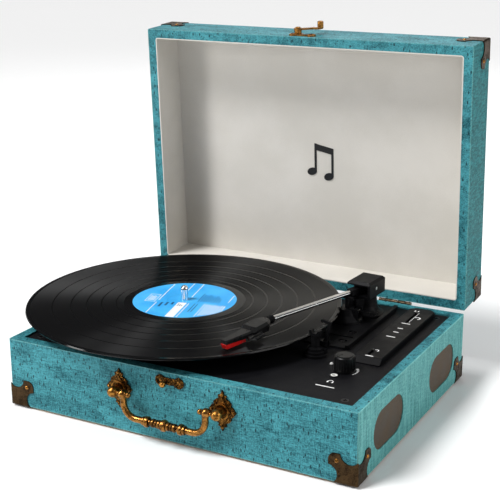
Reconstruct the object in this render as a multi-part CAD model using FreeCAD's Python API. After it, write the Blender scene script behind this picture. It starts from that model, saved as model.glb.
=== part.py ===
"""Portable suitcase record player: wooden case, hinged lid, belt-driven platter and lifted tonearm.

Frame: +X right, +Y back, +Z up. The origin is on the surface the feet stand on, under the centre of
the base case. Lengths are millimetres. The lid stands open and the tonearm hovers over the record.
"""
import FreeCAD, Part
import math
import os

V = FreeCAD.Vector
X_AXIS = V(1, 0, 0)
Y_AXIS = V(0, 1, 0)
Z_AXIS = V(0, 0, 1)

# ---- case -------------------------------------------------------------------------------------
CASE_W = 349.0
CASE_D = 256.0
CASE_H = 64.0
FOOT_H = 2.5
WRAP_T = 0.8
WALL_T = 10.0
RIM_Z = FOOT_H + CASE_H
HALF_W = CASE_W / 2
HALF_D = CASE_D / 2
IN_X = HALF_W - WALL_T
IN_Y = HALF_D - WALL_T
EDGE_R = 1.6
BATTEN = 8.0
PANEL_T = 3.0
DECK_T = 3.0
DECK_Z = RIM_Z - 1.5
DECK_GAP = 0.3
SCREW_X = 153.5
SCREW_Y = 107.5
FOOT_X = 138.0
FOOT_Y = 92.0
GUARD_SIZE = 25.5
GUARD_T = 0.9
GUARD_LOBE_R = 6.0
GUARD_BITE_R = 8.5
GUARD_BITE_AT = 26.0
GUARD_BITE_IN = 6.5
GUARD_NAIL = 19.0

# ---- lid --------------------------------------------------------------------------------------
LID_H = 47.0
LID_ROOF_T = 5.0
LID_WALL_T = 9.0
LINING_T = 1.0
LID_CORNER_R = 2.6
HINGE_Y = HALF_D + 2.5
HINGE_Z = RIM_Z
LID_OPEN_DEG = 87.2
BADGE_X = 2.0
BADGE_Y = 5.5
HINGE_X = 102.0
HINGE_W = 34.0

# ---- record and drive -------------------------------------------------------------------------
DISC_X = -62.3
DISC_Y = -1.5
RECORD_R = 151.0
RECORD_T = 2.0
RECORD_TOP = RIM_Z + 16.5
LABEL_R = 50.0
LABEL_T = 0.12
MAT_T = 2.0
MAT_R = 97.0
PLATTER_R = 98.0
PLATTER_LOW = DECK_Z + 1.8
DRIVE_RING_R = 72.0
PULLEY_R = 3.0
BELT_T = 0.6
BELT_W = 4.0
BELT_GAP = 0.05
MOTOR_DIST = 84.0
MOTOR_DEG = -135.0
MOTOR_R = 16.0
SPINDLE_R = 3.6
SPINDLE_TOP = RECORD_TOP + 15.0
RUN_GAP = 0.05
DISC_R_OUT = PLATTER_R + 4.0

# ---- tonearm ----------------------------------------------------------------------------------
PIVOT_X = 89.5
PIVOT_Y = 84.8
ARM_Z = RECORD_TOP + 10.7
ARM_YAW = 18.24
HEAD_YAW = 12.3
TUBE_R = 2.4
TUBE_END = 126.0
HEAD_LEN = 59.0
TIP_BACK = 6.5
PLATE_TOP = DECK_Z + 2.0
HOUSING_W = 24.6
HOUSING_L = 33.0
HOUSING_LOW = ARM_Z - 6.1
HOUSING_TOP = ARM_Z + 9.4
HOUSING_YAW = 4.0
FLARE = 7.2
LIFT_DIST = 27.0
WEDGE_END = 23.5
REST_X = 90.8
REST_Y = -31.0
CLIP_X = REST_X + 6.8
CLIP_Z = DECK_Z + 10.0

# ---- controls ---------------------------------------------------------------------------------
PANEL_LEFT = 126.0
PANEL_RIGHT = 151.5
PANEL_FRONT = -30.5
PANEL_BACK = 113.5
PANEL_TOP = RIM_Z + 4.0
SLOT_X = 137.0
SPEED_SLOT = (70.5, 100.5)
STOP_SLOT = (-20.5, -7.0)
SLOT_W = 2.4
KNOB_X = 128.3
KNOB_Y = -51.5
KNOB_R = 9.3
KNOB_H = 14.2
JACK_X = 125.0
JACK_Y = -66.0
JACK_BORE_R = 1.8
LED_X = 112.2
LED_Y = -43.2

# ---- handle, latch, speakers, rear sockets ----------------------------------------------------
HANDLE_X = 52.0
HANDLE_Z = 42.8
EYE_X = 42.5
HANDLE_OUT = 11.0
BAIL_DROP = 20.8
LATCH_X = -5.9
LATCH_UP = 9.5
KEEPER_X = -4.0
HOOK_LEN = 20.5
HOOK_REST_DEG = 129.0
KEEPER_Z = 58.6
SPEAKER_Y = (-63.0, 67.5)
SPEAKER_Z = 32.5
GRILLE_L = 66.0
GRILLE_H = 35.0
SOCKET_Z = 34.0
RCA_X = (34.0, 49.0)
AUX_X = 63.0
DC_X = 77.0
RCA_R = 4.15

NODES = {}
GROUPS = {}


# ---- shape helpers ----------------------------------------------------------------------------
def save(name, shape):
    NODES[name] = shape


def collect(name, shapes):
    """Add loose pieces of one kind to the group that shares a node."""
    GROUPS.setdefault(name, []).extend(shapes)


def largest(shape):
    return max(shape.Solids, key=lambda solid: solid.Volume)


def box(x0, x1, y0, y1, z0, z1):
    return Part.makeBox(x1 - x0, y1 - y0, z1 - z0, V(x0, y0, z0))


def rounded_box(x0, x1, y0, y1, z0, z1, radius, axis=Z_AXIS):
    """A box whose edges along one axis are rounded."""
    body = box(x0, x1, y0, y1, z0, z1)
    edges = [e for e in body.Edges if e.tangentAt(e.FirstParameter).cross(axis).Length < 1e-6]
    return body.makeFillet(radius, edges)


def rod(start, end, radius):
    """A round bar from one point to another."""
    along = V(*end) - V(*start)
    return Part.makeCylinder(radius, along.Length, V(*start), along)


def disc(x, y, z0, z1, radius):
    return Part.makeCylinder(radius, z1 - z0, V(x, y, z0))


def ball(x, y, z, radius):
    return Part.makeSphere(radius, V(x, y, z))


def turned(profile, x=0.0, y=0.0):
    """Turn an outline of (radius, height) points about the vertical axis at x, y."""
    points = [V(r, 0, z) for r, z in profile]
    face = Part.Face(Part.makePolygon(points + [points[0]]))
    body = face.revolve(V(0, 0, 0), Z_AXIS, 360)
    body.translate(V(x, y, 0))
    return body


def fuse(shapes):
    body = shapes[0]
    for shape in shapes[1:]:
        body = body.fuse(shape)
    return body.removeSplitter()


def cut(body, tools):
    for tool in tools:
        body = body.cut(tool)
    return body


def stadium(length, height, depth_from, depth_to, y, z):
    """A slab across X with straight top and bottom edges and round ends along Y."""
    r = height / 2
    half = length / 2 - r
    mid = box(depth_from, depth_to, y - half, y + half, z - r, z + r)
    ends = [rod((depth_from, y + s * half, z), (depth_to, y + s * half, z), r) for s in (-1, 1)]
    return fuse([mid] + ends)


def along(yaw, distance, x=PIVOT_X, y=PIVOT_Y):
    """The point a distance in front of x, y on a line turned by yaw towards -X."""
    turn = math.radians(yaw)
    return x - distance * math.sin(turn), y - distance * math.cos(turn)


def opened(shape):
    """Swing a lid part from the closed position to its open place."""
    body = shape.copy()
    body.rotate(V(0, HINGE_Y, HINGE_Z), X_AXIS, -LID_OPEN_DEG)
    return body


def counter_screw(x, y, top, head_r, length):
    """A countersunk screw standing upright, its cross slot cut in the head."""
    shank_r = head_r * 0.5
    profile = [(0, top), (head_r, top), (shank_r, top - head_r * 0.6), (shank_r, top - length),
               (0, top - length)]
    body = turned(profile, x, y)
    slot = head_r * 0.62
    bar = 0.16 * head_r
    depth = top - head_r * 0.3
    cross = [box(x - slot, x + slot, y - bar, y + bar, depth, top + 1)]
    cross.append(box(x - bar, x + bar, y - slot, y + slot, depth, top + 1))
    return cut(body, cross)


# ---- base case --------------------------------------------------------------------------------
def wall_openings():
    """Speaker holes in the right wall and the socket window in the back wall."""
    holes = [stadium(GRILLE_L - 8, GRILLE_H - 8, IN_X - 9, HALF_W + 1, y, SPEAKER_Z) for y in SPEAKER_Y]
    holes.append(box(RCA_X[0] - 9, DC_X + 9, IN_Y - 1, HALF_D + 1, SOCKET_Z - 9, SOCKET_Z + 9))
    return holes


def grille_recesses():
    return [stadium(GRILLE_L, GRILLE_H, HALF_W - 2.4, HALF_W + 1, y, SPEAKER_Z) for y in SPEAKER_Y]


def make_base_case():
    ox = HALF_W - WRAP_T
    oy = HALF_D - WRAP_T
    top = RIM_Z - WRAP_T
    shell = rounded_box(-ox, ox, -oy, oy, FOOT_H, top, EDGE_R - WRAP_T)
    hollow = box(-IN_X, IN_X, -IN_Y, IN_Y, FOOT_H - 1, RIM_Z + 1)
    parts = [shell.cut(hollow)]
    deck_low = DECK_Z - DECK_T
    bx = IN_X - BATTEN
    by = IN_Y - BATTEN
    for low, high in ((FOOT_H + PANEL_T, 11.5), (deck_low - 6, deck_low)):
        ring = box(-IN_X, IN_X, -IN_Y, IN_Y, low, high)
        parts.append(ring.cut(box(-bx, bx, -by, by, low - 1, high + 1)))
    for sx in (-1, 1):
        for sy in (-1, 1):
            x0, x1 = sorted((sx * IN_X, sx * (IN_X - 17)))
            y0, y1 = sorted((sy * IN_Y, sy * (IN_Y - 17)))
            parts.append(box(x0, x1, y0, y1, deck_low - 20, deck_low))
    carcass = cut(fuse(parts), wall_openings() + grille_recesses())
    holes = [disc(sx * SCREW_X, sy * SCREW_Y, deck_low - 12.2, deck_low + 1, 1.8)
             for sx in (-1, 1) for sy in (-1, 1)]
    save("base_carcass", cut(carcass, holes))

    skin = rounded_box(-HALF_W, HALF_W, -HALF_D, HALF_D, FOOT_H, RIM_Z, EDGE_R)
    core = rounded_box(-ox, ox, -oy, oy, FOOT_H - 1, top, EDGE_R - WRAP_T)
    skin = cut(skin, [core, hollow])
    save("base_wrap", cut(skin, wall_openings() + grille_recesses()))


def make_bottom():
    edge = 0.2
    panel = box(-IN_X + edge, IN_X - edge, -IN_Y + edge, IN_Y - edge, FOOT_H, FOOT_H + PANEL_T)
    spots = [(x, sy * (IN_Y - 4.5)) for x in (-120, 0, 120) for sy in (-1, 1)]
    screws = []
    for x, y in spots:
        screw = counter_screw(x, -y, -FOOT_H, 3.0, 8.0)
        screw.rotate(V(0, 0, 0), X_AXIS, 180)
        screws.append(screw)
    panel = largest(cut(panel, screws))
    vents = [box(x - 1.5, x + 1.5, -14, 14, FOOT_H - 1, FOOT_H + PANEL_T + 1) for x in range(-130, -99, 6)]
    save("bottom_panel", cut(panel, vents))
    collect("case_screws", screws)
    base = NODES["base_carcass"]
    save("base_carcass", cut(base, screws))
    foot = [(0, 0), (7.2, 0), (8, 0.8), (8, FOOT_H), (0, FOOT_H)]
    save("rubber_feet", Part.makeCompound([turned(foot, sx * FOOT_X, sy * FOOT_Y) for sx in (-1,
            1) for sy in (-1, 1)]))


def near(edge, point):
    return any((v.Point - point).Length < 1e-6 for v in edge.Vertexes)


def guard(sx, sy, z, up):
    """One stamped corner guard on a case corner: each of its three faces ends in a single round lobe."""
    gap = 0.02
    x = sx * (HALF_W + gap)
    y = sy * (HALF_D + gap)
    z = z - up * gap
    tip = V(x + sx * GUARD_T, y + sy * GUARD_T, z - up * GUARD_T)
    far = V(x - sx * GUARD_SIZE, y - sy * GUARD_SIZE, z + up * GUARD_SIZE)
    block = box(*sorted((tip.x, far.x)), *sorted((tip.y, far.y)), *sorted((tip.z, far.z)))
    block = block.makeFillet(1.6, [e for e in block.Edges if near(e, tip)])
    block = block.makeFillet(GUARD_LOBE_R, [e for e in block.Edges if near(e, far)])
    reach = 60.0
    core = box(*sorted((x, x - sx * reach)), *sorted((y, y - sy * reach)), *sorted((z, z + up * reach)))
    bites = []
    for a, b in ((GUARD_BITE_AT, GUARD_BITE_IN), (GUARD_BITE_IN, GUARD_BITE_AT)):
        bites.append(rod((x - sx * a, y - sy * b, z - up * 3), (x - sx * a, y - sy * b, z + up * 0.3),
                         GUARD_BITE_R))
        bites.append(rod((x - sx * a, y + sy * 3, z + up * b), (x - sx * a, y - sy * 0.3, z + up * b),
                         GUARD_BITE_R))
        bites.append(rod((x + sx * 3, y - sy * a, z + up * b), (x - sx * 0.3, y - sy * a, z + up * b),
                         GUARD_BITE_R))
    return largest(cut(block, [core] + bites))


def guard_nails(sx, sy, z, up):
    """One round-headed nail in each of the three lobes of a corner guard."""
    face = GUARD_T + 0.02
    x = sx * (HALF_W + face)
    y = sy * (HALF_D + face)
    low = z - up * face
    at = GUARD_NAIL
    spots = [(x, y - sy * at, z + up * at, X_AXIS * sx)]
    spots.append((x - sx * at, y, z + up * at, Y_AXIS * sy))
    spots.append((x - sx * at, y - sy * at, low, Z_AXIS * -up))
    nails = []
    for px, py, pz, out in spots:
        centre = V(px, py, pz) - out * 1.0
        dome = Part.makeSphere(2.2, centre)
        half = Part.makeCylinder(3.0, 3.0, V(px, py, pz), out)
        nails.append(dome.common(half))
    return nails


def corner_set(z, up, corners):
    guards = [guard(sx, sy, z, up) for sx, sy in corners]
    nails = []
    for sx, sy in corners:
        nails += guard_nails(sx, sy, z, up)
    return guards, nails


def make_base_guards():
    corners = [(-1, -1), (1, -1), (-1, 1), (1, 1)]
    guards, nails = corner_set(FOOT_H, 1, corners)
    save("base_corner_guards", Part.makeCompound(guards))
    collect("base_trim_nails", nails)


# ---- deck -------------------------------------------------------------------------------------
def make_deck():
    low = DECK_Z - DECK_T
    x = IN_X - DECK_GAP
    y = IN_Y - DECK_GAP
    deck = rounded_box(-x, x, -y, y, low, DECK_Z, 1.0)
    screws = [counter_screw(sx * SCREW_X, sy * SCREW_Y, DECK_Z, 3.4, 14.0) for sx in (-1, 1) for sy in (-1,
            1)]
    motor_x, motor_y = motor_place()
    holes = [disc(DISC_X, DISC_Y, low - 1, DECK_Z + 1, 8.02)]
    holes.append(disc(motor_x, motor_y, low - 1, DECK_Z + 1, 6.0))
    holes.append(disc(PIVOT_X, PIVOT_Y, low - 1, DECK_Z + 1, 7.0))
    holes.append(disc(KNOB_X, KNOB_Y, low - 1, DECK_Z + 1, 3.6))
    holes.append(disc(JACK_X, JACK_Y, low - 1, DECK_Z + 1, 3.02))
    holes.append(disc(LED_X, LED_Y, low - 1, DECK_Z + 1, 1.52))
    for front, back in (SPEED_SLOT, STOP_SLOT):
        holes.append(box(SLOT_X - 5, SLOT_X + 5, front - 1, back + 1, low - 1, DECK_Z + 1))
    deck = largest(cut(deck, screws + holes))
    lip = turned([(DISC_R_OUT, DECK_Z - 0.01), (DISC_R_OUT, DECK_Z + 0.9), (DISC_R_OUT - 1.6, DECK_Z + 0.9),
                  (DISC_R_OUT - 1.6, DECK_Z - 0.01)], DISC_X, DISC_Y)
    inside = box(-x, x, -y, y, low, DECK_Z + 5)
    save("deck_plate", fuse([deck, lip.common(inside)]))
    collect("deck_screws", screws)


def motor_place():
    turn = math.radians(MOTOR_DEG)
    return DISC_X + MOTOR_DIST * math.cos(turn), DISC_Y + MOTOR_DIST * math.sin(turn)


def make_drive():
    motor_x, motor_y = motor_place()
    low = DECK_Z - DECK_T
    can_top = low - 2.0
    can_low = can_top - 26.0
    can = disc(motor_x, motor_y, can_low, can_top, MOTOR_R)
    can = can.makeFillet(1.5,
                         [e for e in can.Edges if e.Closed and abs(e.Vertexes[0].Point.z - can_low) < 1e-6])
    boss = disc(motor_x, motor_y, can_top, can_top + 1.2, 4.0)
    plate = rounded_box(motor_x - 25, motor_x + 25, motor_y - 12, motor_y + 12, can_top, low, 4.0)
    plate = plate.cut(disc(motor_x, motor_y, can_top - 1, low + 1, 5.0))
    bolts = []
    for ex, ey in ((motor_x - 20.5, motor_y), (motor_x + 20.5, motor_y)):
        bolt = disc(ex, ey, can_top, low + 2.0, 1.5)
        head = disc(ex, ey, can_top - 2.0, can_top, 2.8)
        bolts.append(fuse([bolt, head]))
    collect("case_screws", bolts)
    save("deck_plate", cut(NODES["deck_plate"], bolts))

    mid = PLATTER_LOW + 3.6
    top = mid + 3.4
    foot = mid - 3.4
    profile = [(1.02, foot), (4.6, foot), (4.6, foot + 0.8), (PULLEY_R, foot + 1.2), (PULLEY_R, top - 1.2),
               (4.6, top - 0.8), (4.6, top), (1.02, top)]
    save("motor_pulley", turned(profile, motor_x, motor_y))
    shaft = disc(motor_x, motor_y, can_top - 4, top - 0.5, 1.0)
    save("drive_motor", Part.makeCompound([fuse([can, shaft, boss]), cut(plate, bolts)]))
    save("drive_belt", belt(motor_x, motor_y, mid - BELT_W / 2, mid + BELT_W / 2))


def belt_outline(big, small, z):
    """The closed outline of a belt round two circles, as a face at height z."""
    lean = math.asin((big - small) / MOTOR_DIST)
    far = V(MOTOR_DIST, 0, z)
    cos_t, sin_t = math.cos(lean), math.sin(lean)
    top_a = V(big * sin_t, big * cos_t, z)
    top_b = far + V(small * sin_t, small * cos_t, 0)
    low_a = V(top_a.x, -top_a.y, z)
    low_b = V(top_b.x, -top_b.y, z)
    edges = [Part.LineSegment(top_a, top_b).toShape()]
    edges.append(Part.Arc(top_b, far + V(small, 0, 0), low_b).toShape())
    edges.append(Part.LineSegment(low_b, low_a).toShape())
    edges.append(Part.Arc(low_a, V(-big, 0, z), top_a).toShape())
    return Part.Face(Part.Wire(edges))


def belt(motor_x, motor_y, low, high):
    inner = belt_outline(DRIVE_RING_R + BELT_GAP, PULLEY_R + BELT_GAP, low)
    outer = belt_outline(DRIVE_RING_R + BELT_GAP + BELT_T, PULLEY_R + BELT_GAP + BELT_T, low)
    up = V(0, 0, high - low)
    band = outer.extrude(up).cut(inner.extrude(up))
    band.rotate(V(0, 0, 0), Z_AXIS, MOTOR_DEG)
    band.translate(V(DISC_X, DISC_Y, 0))
    return band


def make_platter():
    mat_low = RECORD_TOP - RECORD_T - MAT_T
    mat_top = RECORD_TOP - RECORD_T
    ceiling = mat_low - 2.4
    low = PLATTER_LOW
    bore = SPINDLE_R + 0.01
    ring_in = DRIVE_RING_R - 3.0
    profile = [(bore, low), (9, low), (11, ceiling), (ring_in, ceiling), (ring_in, low + 0.6),
               (DRIVE_RING_R, low + 0.6),
               (DRIVE_RING_R, ceiling), (PLATTER_R - 3, ceiling), (PLATTER_R - 3, low), (PLATTER_R, low),
               (PLATTER_R, mat_low - 1.0), (PLATTER_R - 1.0, mat_low), (bore, mat_low)]
    save("platter", turned(profile, DISC_X, DISC_Y))
    grooves = []
    mat = disc(DISC_X, DISC_Y, mat_low, mat_top, MAT_R).cut(disc(DISC_X, DISC_Y, mat_low - 1, mat_top + 1,
                                                                 bore))
    for r in (58, 70, 82, 92):
        ring = disc(DISC_X, DISC_Y, mat_top - 0.6, mat_top + 1, r + 1.5)
        grooves.append(ring.cut(disc(DISC_X, DISC_Y, mat_top - 1, mat_top + 2, r - 1.5)))
    save("slip_mat", cut(mat, grooves))

    spindle_low = DECK_Z - 22.0
    tip = SPINDLE_TOP
    steps = [(0, spindle_low), (SPINDLE_R - 0.6, spindle_low), (SPINDLE_R, spindle_low + 0.6),
             (SPINDLE_R, tip - 4.0)]
    dome = [(SPINDLE_R * math.cos(math.radians(a)), tip - 4.0 + 4.0 * math.sin(math.radians(a)))
            for a in range(15, 90, 15)]
    save("spindle", turned(steps + dome + [(0, tip)], DISC_X, DISC_Y))
    wall = SPINDLE_R + RUN_GAP
    seat = spindle_low - 3.0
    bush = [(wall, spindle_low - 0.02), (wall, DECK_Z + 0.6), (10.5, DECK_Z + 0.6), (10.5, DECK_Z + 0.02),
            (8.0, DECK_Z + 0.02), (8.0, seat), (0, seat), (0, spindle_low - 0.02)]
    collect("bearing_bushes", [turned(bush, DISC_X, DISC_Y)])


def make_record():
    low = RECORD_TOP - RECORD_T
    top = RECORD_TOP
    dip = 0.22
    hole = SPINDLE_R + 0.02
    lead_in = 146.5
    lead_out = 58.0
    profile = [(hole, low), (LABEL_R + 4, low), (lead_out, low + dip), (lead_in, low + dip),
               (RECORD_R - 1.5, low),
               (RECORD_R - 0.5, low + 0.2), (RECORD_R, low + RECORD_T / 2), (RECORD_R - 0.5, top - 0.2),
               (RECORD_R - 1.5, top), (lead_in, top - dip), (lead_out, top - dip), (LABEL_R + 4,
                       top), (hole, top)]
    save("vinyl_record", turned(profile, DISC_X, DISC_Y))
    ring_hole = SPINDLE_R + 0.02
    upper = disc(DISC_X, DISC_Y, top, top + LABEL_T,
                 LABEL_R).cut(disc(DISC_X, DISC_Y, top - 1, top + 1, ring_hole))
    save("record_label", upper)


# ---- tonearm ----------------------------------------------------------------------------------
def make_arm_plate():
    left, right, front, back = 66.0, 112.0, -8.0, 114.0
    plate = rounded_box(left, right, front, back, DECK_Z, PLATE_TOP, 4.0)
    rail = rounded_box(right - 4, right, front, back, PLATE_TOP - 0.5, PLATE_TOP + 2.5, 1.9)
    step = box(left + 10, right - 6, 18.0, 19.2, PLATE_TOP - 0.5, PLATE_TOP + 0.8)
    plate = fuse([plate, rail, step])
    wells = [rounded_box(95, 103, 29, 35, PLATE_TOP - 1.4, PLATE_TOP + 1, 2.0)]
    wells.append(rounded_box(96, 104, 4.5, 11, PLATE_TOP - 1.4, PLATE_TOP + 1, 2.0))
    wells.append(box(105.4, 106.8, -2, 17, PLATE_TOP - 1.2, PLATE_TOP + 1))
    wells.append(disc(PIVOT_X, PIVOT_Y, DECK_Z - 1, PLATE_TOP + 1, 7.0))
    save("tonearm_plate", cut(plate, wells))
    heads = [counter_screw(99, 32, PLATE_TOP - 0.2, 1.8, 6.0),
             counter_screw(100, 7.75, PLATE_TOP - 0.2, 1.8, 6.0)]
    collect("deck_screws", heads)
    save("tonearm_plate", cut(NODES["tonearm_plate"], heads))
    save("deck_plate", cut(NODES["deck_plate"], heads))


def housing_turned(shape):
    shape.rotate(V(PIVOT_X, PIVOT_Y, 0), Z_AXIS, -HOUSING_YAW)
    return shape


LIFT_X, LIFT_Y = along(ARM_YAW, LIFT_DIST)
LEVER_X = LIFT_X + 10.5
LEVER_Z = 78.0


def make_pedestal():
    neck = 10.5
    foot_z = PLATE_TOP + 2.4
    flare = [(neck + FLARE * (1 - math.sin(math.radians(a))), foot_z + (HOUSING_LOW - 3 - foot_z)
              * (1 - math.cos(math.radians(a)))) for a in range(0, 91, 15)]
    profile = [(0, PLATE_TOP), (neck + FLARE, PLATE_TOP)] + flare + [(neck, HOUSING_LOW), (0, HOUSING_LOW)]
    body = turned(profile, PIVOT_X, PIVOT_Y)
    lobe_top = RECORD_TOP - RECORD_T - 0.9
    lobe = [(0, PLATE_TOP), (15.5, PLATE_TOP), (15.0, foot_z), (11.0, foot_z + 5), (9.0, lobe_top),
            (0, lobe_top)]
    web = in_arm_frame(box(PIVOT_X - 6, PIVOT_X + 6, PIVOT_Y - 20.5, PIVOT_Y, PLATE_TOP, HOUSING_LOW - 0.4))
    lever_seat = box(LEVER_X - 6, LEVER_X + 3, LIFT_Y - 6, LIFT_Y + 6, 70, 81)
    body = fuse([body, web, turned(lobe, LIFT_X, LIFT_Y), lever_seat])
    wells = [disc(PIVOT_X, PIVOT_Y, PLATE_TOP - 1, HOUSING_LOW + 1, 6.52)]
    wells.append(box(LEVER_X - 3.5, LEVER_X + 4, LIFT_Y - 3.3, LIFT_Y + 3.3, 73.5, 82))
    wells.append(rod((LEVER_X, LIFT_Y - 7, LEVER_Z), (LEVER_X, LIFT_Y + 7, LEVER_Z), 1.5 + RUN_GAP))
    wells.append(disc(LIFT_X, LIFT_Y, 69.0, 83, 2.0 + RUN_GAP))
    save("tonearm_pedestal", cut(body, wells))

    hub = rod((LEVER_X, LIFT_Y - 3.0, LEVER_Z), (LEVER_X, LIFT_Y + 3.0, LEVER_Z), 2.7)
    pin = rod((LEVER_X, LIFT_Y - 5.8, LEVER_Z), (LEVER_X, LIFT_Y + 5.8, LEVER_Z), 1.5)
    blade = rounded_box(LEVER_X + 1, LEVER_X + 18, LIFT_Y - 1.6, LIFT_Y + 1.6, LEVER_Z - 0.9, LEVER_Z + 0.9,
                        1.2)
    pad = rounded_box(LEVER_X + 13, LEVER_X + 19.5, LIFT_Y - 2.8, LIFT_Y + 2.8, LEVER_Z - 1.2,
                      LEVER_Z + 1.4, 1.6)
    save("cue_lever", fuse([hub, pin, blade, pad]))

    bar_top = ARM_Z - TUBE_R - 0.3
    stem = disc(LIFT_X, LIFT_Y, 71.4, bar_top - 1, 2.0)
    bar = rounded_box(LIFT_X - 12, LIFT_X + 8, LIFT_Y - 1.6, LIFT_Y + 1.6, bar_top - 2.4, bar_top, 1.2)
    bar.rotate(V(LIFT_X, LIFT_Y, 0), Z_AXIS, -ARM_YAW)
    save("lift_platform", fuse([stem, bar]))


def make_housing():
    hw = HOUSING_W / 2
    hl = HOUSING_L / 2
    x, y = PIVOT_X, PIVOT_Y
    shell = box(x - hw, x + hw, y - hl, y + hl, HOUSING_LOW, HOUSING_TOP)
    top_edges = [e for e in shell.Edges if all(abs(v.Point.z - HOUSING_TOP) < 1e-6 for v in e.Vertexes)]
    shell = shell.makeChamfer(2.2, top_edges)
    upright = [e for e in shell.Edges if e.tangentAt(e.FirstParameter).cross(Z_AXIS).Length < 1e-6]
    shell = shell.makeFillet(0.8, upright)
    floor = 2.0
    roof = 3.4
    room = box(x - hw + 2.4, x + hw - 2.4, y - hl - 1, y + hl - 2.4, HOUSING_LOW + floor, HOUSING_TOP - roof)
    side = box(x - hw - 1, x, y - hl - 1, y - 2, HOUSING_LOW + floor, HOUSING_TOP - roof)
    bore = disc(x, y, HOUSING_LOW - 1, HOUSING_LOW + floor + 1, 3.0 + RUN_GAP)
    screw_z = ARM_Z + 1.5
    screw_seat = rod((x + hw - 1.2, y - 2, screw_z), (x + hw + 1, y - 2, screw_z), 1.62)
    save("tonearm_housing", housing_turned(cut(shell, [room, side, bore, screw_seat])))
    screw = rod((x + hw - 1.2, y - 2, screw_z), (x + hw - 0.1, y - 2, screw_z), 1.6)
    screw = screw.cut(box(x + hw - 0.5, x + hw + 1, y - 2.25, y - 1.75, screw_z - 2, screw_z + 2))
    collect("deck_screws", [housing_turned(screw)])
    collect("bearing_bushes", [turned([(3.0 + RUN_GAP, 62.0), (6.5, 62.0), (6.5, HOUSING_LOW - 0.02),
                                 (3.0 + RUN_GAP, HOUSING_LOW - 0.02)], x, y)])


def make_yoke():
    """The upright shaft and the fork that carries the arm's cross pin."""
    x, y = PIVOT_X, PIVOT_Y
    floor_z = HOUSING_LOW + 2.3
    shaft = disc(x, y, 58.0, floor_z + 0.1, 3.0)
    foot = disc(x, y, floor_z, floor_z + 0.7, 6.4)
    cheeks = [box(x + s * 5.2 - 0.7, x + s * 5.2 + 0.7, y - 2.4, y + 2.4, floor_z + 0.6,
                  ARM_Z + 2.6) for s in (-1, 1)]
    body = fuse([shaft, foot] + cheeks)
    body = body.cut(rod((x - 7, y, ARM_Z), (x + 7, y, ARM_Z), 1.0 + RUN_GAP))
    body.rotate(V(x, y, 0), Z_AXIS, -ARM_YAW)
    save("tonearm_yoke", body)


def in_arm_frame(shape):
    """Place a piece drawn along -Y from the pivot on the line of the arm."""
    shape.rotate(V(PIVOT_X, PIVOT_Y, 0), Z_AXIS, -ARM_YAW)
    return shape


def make_arm():
    x, y, z = PIVOT_X, PIVOT_Y, ARM_Z
    tube = rod((x, y - 20, z), (x, y - TUBE_END, z), TUBE_R)
    tube = tube.cut(rod((x, y - WEDGE_END - 0.5, z), (x, y - TUBE_END - 1, z), TUBE_R - 0.5))
    save("arm_tube", in_arm_frame(tube))

    core = box(x - 3.6, x + 3.6, y - 8, y + 5, z - 1.9, z + 2.6)
    wedge = Part.makeLoft([Part.makePolygon([V(x - w, y - d, z - h), V(x + w, y - d, z - h),
                                             V(x + w, y - d, z + h),
                                             V(x - w, y - d, z + h), V(x - w, y - d, z - h)])
                           for w, h, d in ((4.0, 2.9, 7.5), (3.4, 2.9, WEDGE_END))], True)
    pin = rod((x - 6.4, y, z), (x + 6.4, y, z), 1.0)
    knuckle = fuse([core, wedge])
    knuckle = knuckle.cut(rod((x, y - 20, z), (x, y - 27, z), TUBE_R))
    save("arm_knuckle", in_arm_frame(fuse([knuckle, pin])))
    weight = rounded_box(x - 3.8, x + 3.8, y + 5, y + 8.6, z - 1.9, z + 3.0, 1.0, Y_AXIS)
    save("counterweight", in_arm_frame(weight))

    end_x, end_y = along(ARM_YAW, TUBE_END)
    collar_len = 9.0
    hx, hy = along(HEAD_YAW, collar_len, end_x, end_y)
    collar = rod((end_x, end_y, z), (hx, hy, z), 3.4)
    plug_x, plug_y = along(ARM_YAW, TUBE_END - 5)
    plug = rod((plug_x, plug_y, z), (end_x, end_y, z), TUBE_R - 0.52)
    ribs = [rod((*along(HEAD_YAW, d, end_x, end_y), z), (*along(HEAD_YAW, d + 1.0, end_x, end_y), z), 3.9)
            for d in (1.0, 3.4, 5.8)]
    save("head_collar", fuse([collar, plug] + ribs).cut(NODES["arm_tube"]))

    save_head(hx, hy, z)


def head_section(distance, half_w, low, high, crown):
    """A six-sided cross-section of the headshell, with its upper corners cut off."""
    points = [(-half_w, low), (half_w, low), (half_w, high - crown), (half_w - crown * 1.3, high),
              (-half_w + crown * 1.3, high), (-half_w, high - crown)]
    wire = [V(a, -distance, b) for a, b in points]
    return Part.makePolygon(wire + [wire[0]])


def place_head(shape, hx, hy):
    shape.rotate(V(0, 0, 0), Z_AXIS, -HEAD_YAW)
    shape.translate(V(hx, hy, 0))
    return shape


def plan_wedge(back, front, back_w, front_w, low, high):
    """A block that tapers in plan from its back to its front; widths are halves."""
    points = [V(-back_w, back, low), V(back_w, back, low), V(front_w, front, low), V(-front_w, front, low)]
    return Part.Face(Part.makePolygon(points + [points[0]])).extrude(V(0, 0, high - low))


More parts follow.
